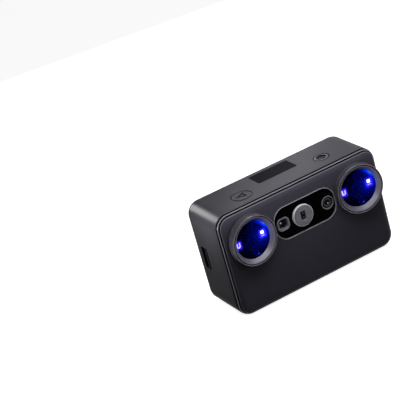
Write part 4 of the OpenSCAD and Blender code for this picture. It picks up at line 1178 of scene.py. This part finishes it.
@dataclass
class SensorWindow:
    """The pill-shaped window between the lenses with its projector, camera and fill light."""

    box: Box = Box.of("window_bezel")
    radius: float = 9.3
    rim: float = 0.55
    proud: float = 0.45
    low: float = -2.6
    module_low: float = -14.3
    projector_x: float = Box.of("projector_bezel").middle[0]
    colour_x: float = Box.of("colour_camera").middle[0]
    fill_x: float = Box.of("fill_light_bezel").middle[0]

    def bezel(self) -> None:
        """Makes the thin bright rim with a rounded crest."""
        seat = Seat.facing(Facing.FRONT, PILL_X, FRONT_Y, PILL_Z)
        profile = fillet([(0, -1.4, 0), (0, self.proud, 0.3), (self.rim, self.proud, 0.3),
                          (self.rim, -1.4, 0)])
        width, _, height = self.box.size
        piece = Piece("window_rim").skin(carried(width, height, self.radius, profile, 20), seat, loop=True)
        piece.finish("case", "bezel_aluminium", ["cut_bright_aluminium"], ["window_bezel"])

    def projector(self) -> None:
        """Makes the projector: a grooved round bezel with an upright slit, and two lenses in the slit.

        Each lens carries a small silver dot, a painted glint.
        """
        seat = Seat.facing(Facing.FRONT, self.projector_x, FRONT_Y, PILL_Z)
        top, low = 1.5, self.low
        slit = polar_outline(rounded_rectangle(3.6, 6.2, 0.4), 128)
        profile = fillet([(7.35, low, 0), (7.35, top, 0.45), (6.6, top, 0.05), (6.55, top - 0.14, 0.03),
                          (6.3, top - 0.14, 0.03), (6.25, top, 0.05), (4.6, top, 0)], closed=False)
        rings = np.concatenate([turned(profile, 128),
                                stack([(slit * 1.02, top), (slit, top - 0.08), (slit, low)])])
        crest = int(np.argmax(rings[:, 0, 2] > top - 0.01))
        # The outer wall up to the crest is painted almost white: a painted highlight.
        ring = Piece("projector_ring").skin(rings[:crest + 1], seat, slot=1)
        ring.skin(np.concatenate([rings[crest:], rings[:1]]), seat)
        ring.finish("case", "bezel_aluminium", ["lacquered_zinc_casting", "zinc_edge_painted_highlight"],
                    ["projector_bezel"])
        optics = Piece("projector_optics").solid(stack([(slit * 0.97, -2.5), (slit * 0.97, 0.1)]), seat)
        for up, radius in ((1.35, 1.0), (-1.35, 1.35)):
            optics.solid(turned(dome(radius, 0.15, 0.6), 48), seat, 1, (0, up, 0))
            # A small silver dot on each lens: a painted glint.
            optics.solid(turned(dome(0.4, 0.7, 0.15), 24), seat, 2, (0.2, up - 0.1, 0))
        optics.finish("case", "lens_glass",
                      ["matt_black_paint_and_painted_shade", "coated_lens_glass", "blasted_silver_aluminium"],
                      ["projector_lens"])

    def colour_camera(self) -> None:
        """Makes the colour camera: a pale ring, a black stepped baffle and a domed lens."""
        seat = Seat.facing(Facing.FRONT, self.colour_x, FRONT_Y, PILL_Z)
        low = self.low
        ring = fillet([(4.5, low, 0), (4.5, 0.25, 0.12), (3.95, 0.25, 0.1), (3.8, -0.7, 0), (3.8, low, 0)])
        piece = Piece("colour_camera_ring").skin(turned(ring), seat, loop=True)
        piece.solid(carried(9.0, 9.0, 0.8, np.array([(0.0, self.module_low), (0.0, low)]), 4), seat, 1)
        baffle = fillet([(3.85, low, 0), (3.85, -0.75, 0), (2.75, -0.75, 0.05), (2.65, -0.35, 0.08),
                         (2.2, -0.35, 0.08), (2.05, -1.0, 0), (0.01, -1.0, 0)], closed=False)
        rings = turned(baffle)
        collar = int(np.argmax(rings[:, 0, 2] > -0.6))
        throat = collar + int(np.argmax(rings[collar:, 0, 2] < -0.6))
        piece.skin(rings[:collar], seat, start=True, slot=1)
        piece.skin(rings[collar - 1:throat + 1], seat, slot=2)
        piece.skin(rings[throat:], seat, end=True, slot=1)
        piece.finish("case", "bezel_aluminium",
                     ["blasted_silver_aluminium", "matt_black_paint_and_painted_shade", "turned_dark_anodised_aluminium"],
                     ["colour_camera"])
        lens = Piece("colour_camera_dome").solid(turned(dome(2.0, -0.95, 0.7), 64), seat)
        # A small white dome beside the lens's middle: a painted glint.
        lens.solid(turned(dome(0.5, -0.35, 0.2), 24), seat, 1, (0.35, -0.45, 0))
        lens.finish("case", "lens_glass", ["coated_lens_glass", "frosted_white_pc_and_painted_glint"], ["colour_camera_lens"])

    def fill_light(self) -> None:
        """Makes the fill light: a square bezel round a sunk floor with a round lens and a small lamp."""
        seat = Seat.facing(Facing.FRONT, self.fill_x, FRONT_Y, PILL_Z)
        low, lens_at, lamp_at = self.low, (0.95, -0.1, 0), (-1.3, 0.8, 0)
        profile = fillet([(0, low, 0), (0, 0.25, 0.12), (0.85, 0.25, 0.12), (1.75, -1.4, 0), (1.75, low, 0)])
        bezel = Piece("fill_light_frame").skin(carried(8.8, 8.8, 3.0, profile, 10), seat, loop=True)
        bezel.finish("case", "bezel_aluminium", ["blasted_silver_aluminium"], ["fill_light_bezel"])
        floor = np.array([(0.0, self.module_low), (0.0, -2.7), (1.5, -2.65), (1.5, -1.5)])
        collar = fillet([(1.75, -1.6, 0), (1.75, -1.0, 0.1), (1.4, -1.0, 0.08), (1.35, -1.6, 0)])
        lamp = Piece("fill_light_lamp").solid(carried(9.0, 9.0, 0.8, floor, 4), seat)
        lamp.skin(turned(collar, 48), seat, loop=True, at=lens_at)
        lamp.solid(turned(dome(1.34, -1.4, 0.35), 48), seat, 1, lens_at)
        lamp.solid(turned(dome(0.6, -1.35, 0.5), 32), seat, 2, lamp_at)
        lamp.finish("case", "lamp_white", ["matt_black_paint_and_painted_shade", "coated_lens_glass", "frosted_white_pc_and_painted_glint"],
                    ["fill_light"])

    def build(self) -> None:
        """Builds the sensor window."""
        for step in (self.bezel, self.projector, self.colour_camera, self.fill_light):
            step()


# Controls, screen and small parts


def inside(spots: Array, corners: Sequence[Pair]) -> Array:
    """Measures how deep spots lie in a triangle, as the least of their distances to its sides.

    Args:
        spots: rows of across and up distances.
        corners: the triangle's corners, clockwise.

    Returns:
        Distances, which are below 0 out of the triangle.
    """
    ring = np.array(corners)
    sides = np.roll(ring, -1, 0) - ring
    away = spots[:, None] - ring
    return ((sides[:, 1] * away[..., 0] - sides[:, 0] * away[..., 1]) / np.linalg.norm(sides, axis=1)).min(1)


@dataclass
class PushButton:
    """A round button: rounded cap with an engraved sign, flange and stem.

    A groove and a lip run round the cap's top, whose middle leans rearward. The groove's floor, the
    skirt, the flange and the stem are black: painted shade in the gap round the cap.
    """

    name: str
    body: str
    x: float
    y: float
    radius: float
    sign: Sign
    groove: float = 0.9
    lip: float = 0.15
    lean: float = 0.25
    bowl: float = 0.75
    cut: float = 0.28
    flange_out: float = 1.0
    stem_r: float = 1.5
    cells: int = 120

    def relief(self, spots: Array) -> Tuple[Array, Array]:
        """Returns how deep the cap is cut at each spot, and how much paint lies there.

        The triangle is the band between two nested triangles, measured by the distance to their
        sides. The power sign is a ring with a gap and a bar on the floor of a dish, whose steep wall
        is painted dark all round too, as painted shade. Both fade in over 0.14 as 3 s^2 - 2 s^3.

        Args:
            spots: rows of across and up distances from the cap's middle.

        Returns:
            Depths in millimetres, and marks from 0 to 1.
        """
        x, y = spots[:, 0], spots[:, 1]
        if self.sign is Sign.TRIANGLE:
            band = np.minimum(inside(spots, ((-4.4, 0.2), (3.1, 4.1), (3.1, -3.7))),
                              -inside(spots, ((-1.4, 0.2), (1.2, 1.6), (1.2, -1.2))))
            bowl = np.zeros(len(x))
        else:
            far = np.hypot(x, y - self.lean)
            ring = np.minimum(far - 1.45, 2.35 - far)
            ring = np.minimum(ring, np.where(y > 0, np.abs(x) - 0.8, 1.0))
            bar = np.minimum(0.45 - np.abs(x), np.minimum(y - 0.4, 2.6 - y))
            # The band along the dish's steep wall is painted dark all round: painted shade.
            wall = self.radius - self.groove - self.lip - 0.25
            band = np.maximum(np.maximum(ring, bar), 0.2 - np.abs(far - wall))
            bowl = self.bowl * np.clip((wall + 0.1 - far) / 0.2, 0, 1)
        share = np.clip(band / 0.14 + 0.3, 0, 1)
        share = share * share * (3 - 2 * share)
        return bowl + self.cut * share, share

    def build(self) -> None:
        """Builds the cap's top as a grid with the sign cut in, and the skirt, flange and stem round it."""
        grey, black, polished = range(3)
        seat = Seat.facing(Facing.TOP, self.x, self.y, CASE_H)
        face = self.radius - self.groove - self.lip
        disc, loop = disc_grid(self.cells)
        ring, shift = disc[loop], np.array([0.0, self.lean])
        grid = disc * face + shift
        depth, share = self.relief(grid)
        piece = Piece(f"{self.name}_cap")
        piece.sheet(grid, -depth, seat, share)
        drop = FLANGE_TOP - CASE_H
        flange = self.radius + self.flange_out
        lip = [(face + self.lip * math.sin(t), 0.25 * (math.cos(t) - 1))
               for t in np.linspace(0, math.pi / 2, 5)]
        profile = [(self.radius - 0.05, -0.35), (self.radius, -0.4), (self.radius, drop), (flange, drop),
                   (flange, drop - FLANGE), (self.stem_r, drop - FLANGE), (self.stem_r, STEM_FOOT - CASE_H)]
        rings = stack([(ring * radius + shift, height) for radius, height in lip + [(face + self.lip, -0.35)]]
                      + [(ring * radius, height) for radius, height in profile])
        rings[0, :, 2] = -depth[loop]
        # A wide lip, the power button's, takes a paler grey than the cap: a painted highlight.
        piece.skin(rings[:5], seat, slot=polished if self.lip > 0.5 else grey)
        # The groove's floor, the skirt, flange and stem take the black: painted shade in the gap round the
        # cap.
        piece.skin(rings[4:], seat, end=True, slot=black)
        piece.finish(self.body, "frame_plastic",
                     ["spark_moulded_grey_abs", "matt_black_paint_and_painted_shade", "pale_lip_abs_painted_highlight"], [self.name],
                     sharp=50)


@dataclass
class TopWindow:
    """Dark radio window let into the top."""

    box: Box = Box.of("top_window")
    radius: float = 1.15

    def build(self) -> None:
        """Builds the plate with softened edges."""
        seat = Seat.facing(Facing.TOP, *self.box.middle[:2], CASE_H)
        profile = fillet([(0, -1.2, 0), (0, 0, 0.15), (0.6, 0, 0)], closed=False)
        piece = Piece("radio_window").solid(carried(*self.box.size[:2], self.radius, profile), seat)
        piece.finish("case", "black_plastic", ["fine_ribbed_window_pc"], ["top_window"])


@dataclass
class Screen:
    """Rear cover glass with its printed border over the display, which sits towards one side."""

    box: Box = Box.of("screen_glass")
    display_x: float = -3.5

    def build(self) -> None:
        """Builds the clear glass and, behind it, the border print with the display's opening."""
        seat = Seat.facing(Facing.REAR, 0.0, GLASS_Y, MID_Z)
        edge = fillet([(0, -1.3, 0.05), (0, 0, 0.25), (1.0, 0, 0)], closed=False)
        width, _, height = self.box.size
        glass = Piece("screen_cover").solid(carried(width, height, 1.8, edge), seat)
        glass.finish("case", "screen_glass", ["clear_cover_glass"], ["screen_glass"])
        outer = rounded_rectangle(width - 0.2, height - 0.2, 1.7)
        inner = rounded_rectangle(79, 46.6, 0.4) + np.array([self.display_x, 0.0])
        rings = stack([(outer, -1.39), (outer, -1.32), (inner, -1.32), (inner, -1.39)])
        mask = Piece("screen_border").skin(rings, seat, loop=True)
        mask.finish("case", "black_plastic", ["mask_black_film"])


@dataclass
class PortAndLights:
    """Charging port with its tongue and contacts, and the two light bars over and under it."""

    box: Box = Box.of("usb_port")
    sunk: float = 0.8
    contacts: int = 8
    contact_pitch: float = 0.7
    bar_rise: float = 4.3
    bar_proud: float = 0.7

    def port(self, seat: Seat) -> None:
        """Makes the shell and the tongue with a row of contacts on either face.

        Args:
            seat: the port's seat on the case's right end.
        """
        shell = fillet([(0, -7.4, 0), (0, 0, 0.12), (0.3, 0, 0.1), (0.3, -6.4, 0)], closed=False)
        port = Piece("port_shell").solid(carried(*self.box.size[1:], 1.59, shell, 10), seat)
        tongue = fillet([(0, -6.9, 0), (0, -1.0, 0.15), (0.2, -1.0, 0)], closed=False)
        port.solid(carried(6.6, 0.7, 0.2, tongue, 3), seat, 1)
        end = rounded_rectangle(0.28, 0.08, 0.03, 2)
        for i in range(self.contacts):
            x = (i - (self.contacts - 1) / 2) * self.contact_pitch
            for rise in (-0.35, 0.35):
                port.solid(stack([(end, -1.4), (end, 1.4)]), seat, 2, (x, rise, -3.2))
        port.finish("case", "steel", ["brushed_stainless_steel", "black_moulded_nylon", "gold_plated_brass"],
                    ["usb_port"])

    def build(self) -> None:
        """Builds the port and the light bars."""
        seat = Seat.facing(Facing.RIGHT, HALF_W - self.sunk, *self.box.middle[1:])
        self.port(seat)
        bars = Piece("light_bars")
        bar = fillet([(0, -2.5, 0), (0, 0, 0.15), (0.5, 0, 0)], closed=False)
        for rise in (-self.bar_rise, self.bar_rise):
            bars.solid(carried(6.2, 1.6, 0.79, bar, 8), seat, at=(0, rise, self.bar_proud))
        bars.finish("case", "lamp_white", ["frosted_light_guide_pc"], ["charge_indicators"])


@dataclass
class Latch:
    """Thumb latch of the hatch with its grip ridges, slide and spring, measured from the case's middle."""

    slide: Box = Box.of("hatch_latch")
    spring: Box = Box.of("latch_spring")
    y: float = Box.of("hatch_latch").middle[1]
    z: float = 29.6
    end_gap: float = 0.15

    def build(self) -> None:
        """Builds the ridged thumb piece, its shank and slide, and the spring under it."""
        seat = Seat.facing(Facing.RIGHT, 0.0, self.y, self.z)
        thumb = fillet([(0, 58.6, 0), (0, 59.55, 0.2), (0.5, 59.55, 0)], closed=False)
        ridge = fillet([(0, 59.45, 0), (0, 59.8, 0.1), (0.12, 59.8, 0)], closed=False)
        plate = fillet([(0, 56.6, 0), (0, 57.6, 0.1), (0.5, 57.6, 0)], closed=False)
        piece = Piece("thumb_latch").solid(carried(7.0, 2.2, 0.5, thumb, 5), seat)
        for rise in (-0.6, 0.0, 0.6):
            piece.solid(carried(5.6, 0.3, 0.14, ridge, 3), seat, at=(0, rise, 0))
        piece.solid(carried(4.0, 2.2, 0.2, np.array([(0, 56.7), (0, 58.7)]), 3), seat)
        piece.solid(carried(*self.slide.size[1:], 0.4, plate, 4), seat,
                    at=(0, self.slide.middle[2] - self.z, 0))
        piece.finish("latch", "trim_plastic", ["satin_latch_abs"], ["hatch_latch"])
        axis = Seat.facing(Facing.TOP, self.spring.middle[0], self.y, 0.0)
        low, high = self.spring.low[2] + self.end_gap, self.spring.high[2] - self.end_gap
        spring = Piece("latch_coil").solid(coil(0.45, 0.12, low, high, 9), axis)
        wound = spring.finish("hatch", "steel", ["brushed_stainless_steel"], ["latch_spring"])
        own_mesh(wound)


@dataclass
class SmallMetal:
    """Strap bar, tripod insert, base screws and button springs."""

    thread_pitch: float = 1.27
    thread_low: float = -6.4
    screw_x: Pair = (-49.9, 49.9)
    screw_y: Pair = (-10.3, 19.8)

    def strap_bar(self) -> None:
        """Makes the upright bar across the eyelet."""
        box = Box.of("strap_bar")
        seat = Seat.facing(Facing.TOP, *box.middle[:2], box.low[2])
        height = box.size[2]
        profile = fillet([(0.01, 0, 0), (1, 0, 0.1), (1, height, 0.1), (0.01, height, 0)], closed=False)
        piece = Piece("strap_post").solid(turned(profile, 48), seat)
        piece.finish("case", "steel", ["matt_black_paint_and_painted_shade"], ["strap_bar"])

    def tripod_insert(self) -> None:
        """Makes the insert, whose thread is a ridge that climbs one pitch a turn.

        The bore's radius is 2.62 + 0.55 |2 p - 1|, with p the phase from 0 to 1 over a pitch: the depth
        over the pitch plus the turn.
        """
        low, count = self.thread_low, 72
        profile = fillet([(3.7, low, 0), (5.2, low, 0), (5.2, 0, 0.2), (3.75, 0, 0.08), (3.25, -0.45, 0)],
                         closed=False)
        levels = np.linspace(-0.5, low, 90)
        turn = np.arange(count) / count
        phase = np.mod(levels[:, None] / self.thread_pitch + turn[None, :], 1.0)
        reach = 2.62 + 0.55 * np.abs(2 * phase - 1)
        thread = np.stack([reach * np.cos(turn * 2 * math.pi), reach * np.sin(turn * 2 * math.pi),
                           np.repeat(levels[:, None], count, 1)], -1)
        piece = Piece("tripod_bush").skin(np.concatenate([turned(profile, count), thread]),
                                          Seat.facing(Facing.BASE, 0.0, 0.0, 0.0), loop=True)
        piece.finish("case", "steel", ["brushed_stainless_steel"], ["tripod_insert"])

    def screws(self) -> None:
        """Makes the four base screws with their six-sided sockets."""
        piece = Piece("base_screws")
        hexagon = polar_outline(circle(0.62, 6), 48)
        profile = fillet([(0.01, -4.5, 0), (1, -4.5, 0.1), (1, -0.8, 0), (1.15, -0.8, 0), (1.15, -0.1, 0.1),
                          (0.8, -0.1, 0)], closed=False)
        screw = np.concatenate([turned(profile, 48), stack([(hexagon, -0.12), (hexagon, -0.6)])])
        for x in self.screw_x:
            for y in self.screw_y:
                piece.solid(screw, Seat.facing(Facing.BASE, x, y, 0.0))
        piece.finish("case", "black_steel", ["blackened_steel"], ["case_screws"])

    def springs(self) -> None:
        """Makes the two coil springs under the buttons, from just over the board to just under the flange."""
        wire = coil(4.8, 0.25, BUTTON_BOARD_Z + 0.26, FLANGE_TOP - 1.26, 4)
        for name, (x, y) in (("scan", SCAN_AT), ("power", POWER_AT)):
            piece = Piece(f"{name}_coil").solid(wire, Seat.facing(Facing.TOP, x, y, 0.0))
            wound = piece.finish("case", "steel", ["brushed_stainless_steel"], [f"{name}_spring"])
            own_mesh(wound)

    def build(self) -> None:
        """Builds the small metal parts."""
        for step in (self.strap_bar, self.tripod_insert, self.screws, self.springs):
            step()


# Studio


@dataclass(frozen=True)
class Lamp:
    """A rectangular soft lamp, in metres and watts, that faces a point."""

    name: str
    place: Point
    size: Pair
    power: float
    aim: Point = (0, 0, 0.03)
    light: Light = Light.ALL

    def build(self) -> None:
        """Adds the lamp to the scene, where the camera doesn't see it."""
        data = bpy.data.lights.new(self.name, "AREA")
        data.shape, data.energy = "RECTANGLE", self.power
        data.size, data.size_y = self.size
        lamp = bpy.data.objects.new(self.name, data)
        bpy.context.scene.collection.objects.link(lamp)
        lamp.location = self.place
        lamp.rotation_euler = (Vector(self.aim) - Vector(self.place)).to_track_quat("-Z", "Y").to_euler()
        lamp.visible_camera = False
        lamp.visible_diffuse = self.light is not Light.SHEEN
        lamp.visible_glossy = self.light is not Light.FILL


LAMPS = (
    # The light band along the top's front edge, and its reach on the left.
    Lamp("front_edge_strip", (0, -0.08, 0.15), (0.18, 0.04), 0.05, (0, 0, 0.05)),
    Lamp("front_edge_near", (0, -0.045, 0.108), (0.18, 0.03), 0.044, (0, -0.01, 0.05)),
    Lamp("front_left_strip", (-0.06, -0.08, 0.14), (0.08, 0.05), 0.028, (-0.03, 0, 0.05)),
    # The left end's upper edge, and a low line along it.
    Lamp("left_strip", (-0.1, 0, 0.12), (0.03, 0.08), 0.004, (-0.05, 0, 0.05)),
    Lamp("left_low_strip", (-0.092, 0.0, 0.067), (0.04, 0.01), 0.0145, (-0.06, 0.032, 0.064)),
    # The top itself, which is lighter to the rear.
    Lamp("back_right", (0.12, 0.16, 0.12), (0.1, 0.06), 0.08, (0.03, 0, 0.06)),
    Lamp("back_mid", (0.024, 0.062, 0.108), (0.07, 0.03), 0.05, (0.024, 0, 0.0716)),
    Lamp("back_strip", (0.02, 0.12, 0.12), (0.16, 0.05), 0.03, (0, 0, 0.06)),
    # A spark on the upper left corner, seen only as a highlight.
    Lamp("corner_spark", (-0.148, 0.292, 0.172), (0.13, 0.13), 11.0, (-0.05, 0, 0.065), Light.SHEEN),
    # Even light on the front, and on the rear, the right end and the base.
    Lamp("front_fill", (0.3, -0.5, 0.2), (0.3, 0.3), 0.36),
    Lamp("rear_fill", (0.1, 0.6, 0.06), (0.4, 0.1), 0.9, light=Light.FILL),
    Lamp("right_fill", (0.5, 0.1, 0.06), (0.2, 0.1), 0.6, light=Light.FILL),
    Lamp("under_fill", (0.0, 0.1, -0.4), (0.2, 0.2), 0.9, light=Light.FILL),
)


@dataclass
class Studio:
    """Camera, lamps, world and floor.

    The camera is given by the point that it looks at, its place from there, and its directions, in
    the frame's axes, with the focal length in pixels of a square picture.
    """

    centre: Point = (0.0, 4.5, 35.8)
    offset: Point = (-413.88, -868.2, 450.96)
    forward: Point = (0.351, 0.8448, -0.4039)
    across: Point = (0.8446, -0.4719, -0.2529)
    focal_px: float = 1638.6
    picture_px: float = 416
    sensor_mm: float = 36.0
    dim: float = 0.04
    floor_half: float = 3.0
    floor_drop: float = 0.0005

    def camera(self) -> None:
        """Places the camera where the photograph was taken from."""
        forward = Vector(self.forward).normalized()
        right = Vector(self.across)
        right = (right - right.dot(forward) * forward).normalized()
        up = right.cross(forward)
        place = (Vector(self.centre) + Vector(self.offset)) * MM
        data = bpy.data.cameras.new("camera")
        data.sensor_width = self.sensor_mm
        data.lens = self.focal_px / self.picture_px * self.sensor_mm
        data.clip_start, data.clip_end = 0.01, 20.0
        camera = bpy.data.objects.new("camera", data)
        bpy.context.scene.collection.objects.link(camera)
        camera.matrix_world = Matrix(((right.x, up.x, -forward.x, place.x),
                                      (right.y, up.y, -forward.y, place.y),
                                      (right.z, up.z, -forward.z, place.z), (0, 0, 0, 1)))
        bpy.context.scene.camera = camera

    def shown(self, tree: Tree) -> Socket:
        """Picks out the rays that show the background: camera, glossy and transmission rays.

        Args:
            tree: the node tree.

        Returns:
            A socket that gives 1 for them and 0 for the rest.
        """
        path = add(tree, "LightPath")
        gloss = add(tree, "Math", {0: path.outputs["Is Camera Ray"], 1: path.outputs["Is Glossy Ray"]},
                    operation="MAXIMUM")
        return add(tree, "Math", {0: gloss.outputs[0], 1: path.outputs["Is Transmission Ray"]},
                   operation="MAXIMUM").outputs[0]

    def world(self) -> None:
        """Sets a dim grey surround that the camera, metal and glass see as white."""
        world = bpy.data.worlds.new("studio")
        world.use_nodes = True
        tree = world.node_tree
        tree.nodes.clear()
        dim = add(tree, "Background", {"Color": linear("#ffffff"), "Strength": self.dim})
        white = add(tree, "Background", {"Color": linear("#ffffff"), "Strength": 1.0})
        mix = add(tree, "MixShader", {0: self.shown(tree), 1: dim.outputs[0], 2: white.outputs[0]})
        tree.links.new(mix.outputs[0], add(tree, "OutputWorld").inputs[0])
        bpy.context.scene.world = world

    def floor(self) -> None:
        """Lays a white floor under the scanner that takes its shadow and lets light from below through."""
        half = self.floor_half
        mesh = bpy.data.meshes.new("floor")
        mesh.from_pydata([(-half, -half, 0), (half, -half, 0), (half, half, 0), (-half, half, 0)], [],
                         [(0, 1, 2, 3)])
        floor = bpy.data.objects.new("floor", mesh)
        bpy.context.scene.collection.objects.link(floor)
        floor.location.z = -self.floor_drop
        # Backdrop paper: matt white, lit until it burns out, as the photo's ground does.
        material, tree, out = new_material("white_backdrop_paper")
        paper = add(tree, "BsdfDiffuse", {"Color": linear("#ffffff", 0.9)})
        glow = add(tree, "Emission", {"Color": linear("#ffffff"), "Strength": 0.9})
        lit = add(tree, "AddShader", {0: paper.outputs[0], 1: glow.outputs[0]})
        dull = add(tree, "BsdfDiffuse", {"Color": linear("#ffffff", 0.05)})
        seen = add(tree, "MixShader", {0: self.shown(tree), 1: dull.outputs[0], 2: lit.outputs[0]})
        clear = add(tree, "BsdfTransparent")
        through = add(tree, "Math", {0: add(tree, "NewGeometry").outputs["Backfacing"],
                                     1: add(tree, "LightPath").outputs["Is Shadow Ray"]}, operation="MAXIMUM")
        both = add(tree, "MixShader", {0: through.outputs[0], 1: seen.outputs[0], 2: clear.outputs[0]})
        tree.links.new(both.outputs[0], out.inputs[0])
        mesh.materials.append(material)

    def build(self) -> None:
        """Sets the whole studio."""
        self.camera()
        self.world()
        self.floor()
        for lamp in LAMPS:
            lamp.build()
        bpy.context.scene.view_settings.view_transform = "Standard"
        LOG.info("studio: %d lamps", len(LAMPS))


def main() -> None:
    """Builds the scanner's looks in order."""
    logging.basicConfig(level=logging.INFO, format="%(message)s")
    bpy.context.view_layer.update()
    Studio().build()
    build_finishes()
    for side in Side:
        LensRing(side).build()
        LensCavity(side).build()
    SensorWindow().build()
    PushButton("scan_button", "scan", *SCAN_AT, 7.1, Sign.TRIANGLE).build()
    PushButton("power_button", "power", *POWER_AT, 5.4, Sign.POWER, groove=0.8, lip=1.0).build()
    TopWindow().build()
    Screen().build()
    PortAndLights().build()
    Latch().build()
    SmallMetal().build()


if __name__ == "__main__":
    main()
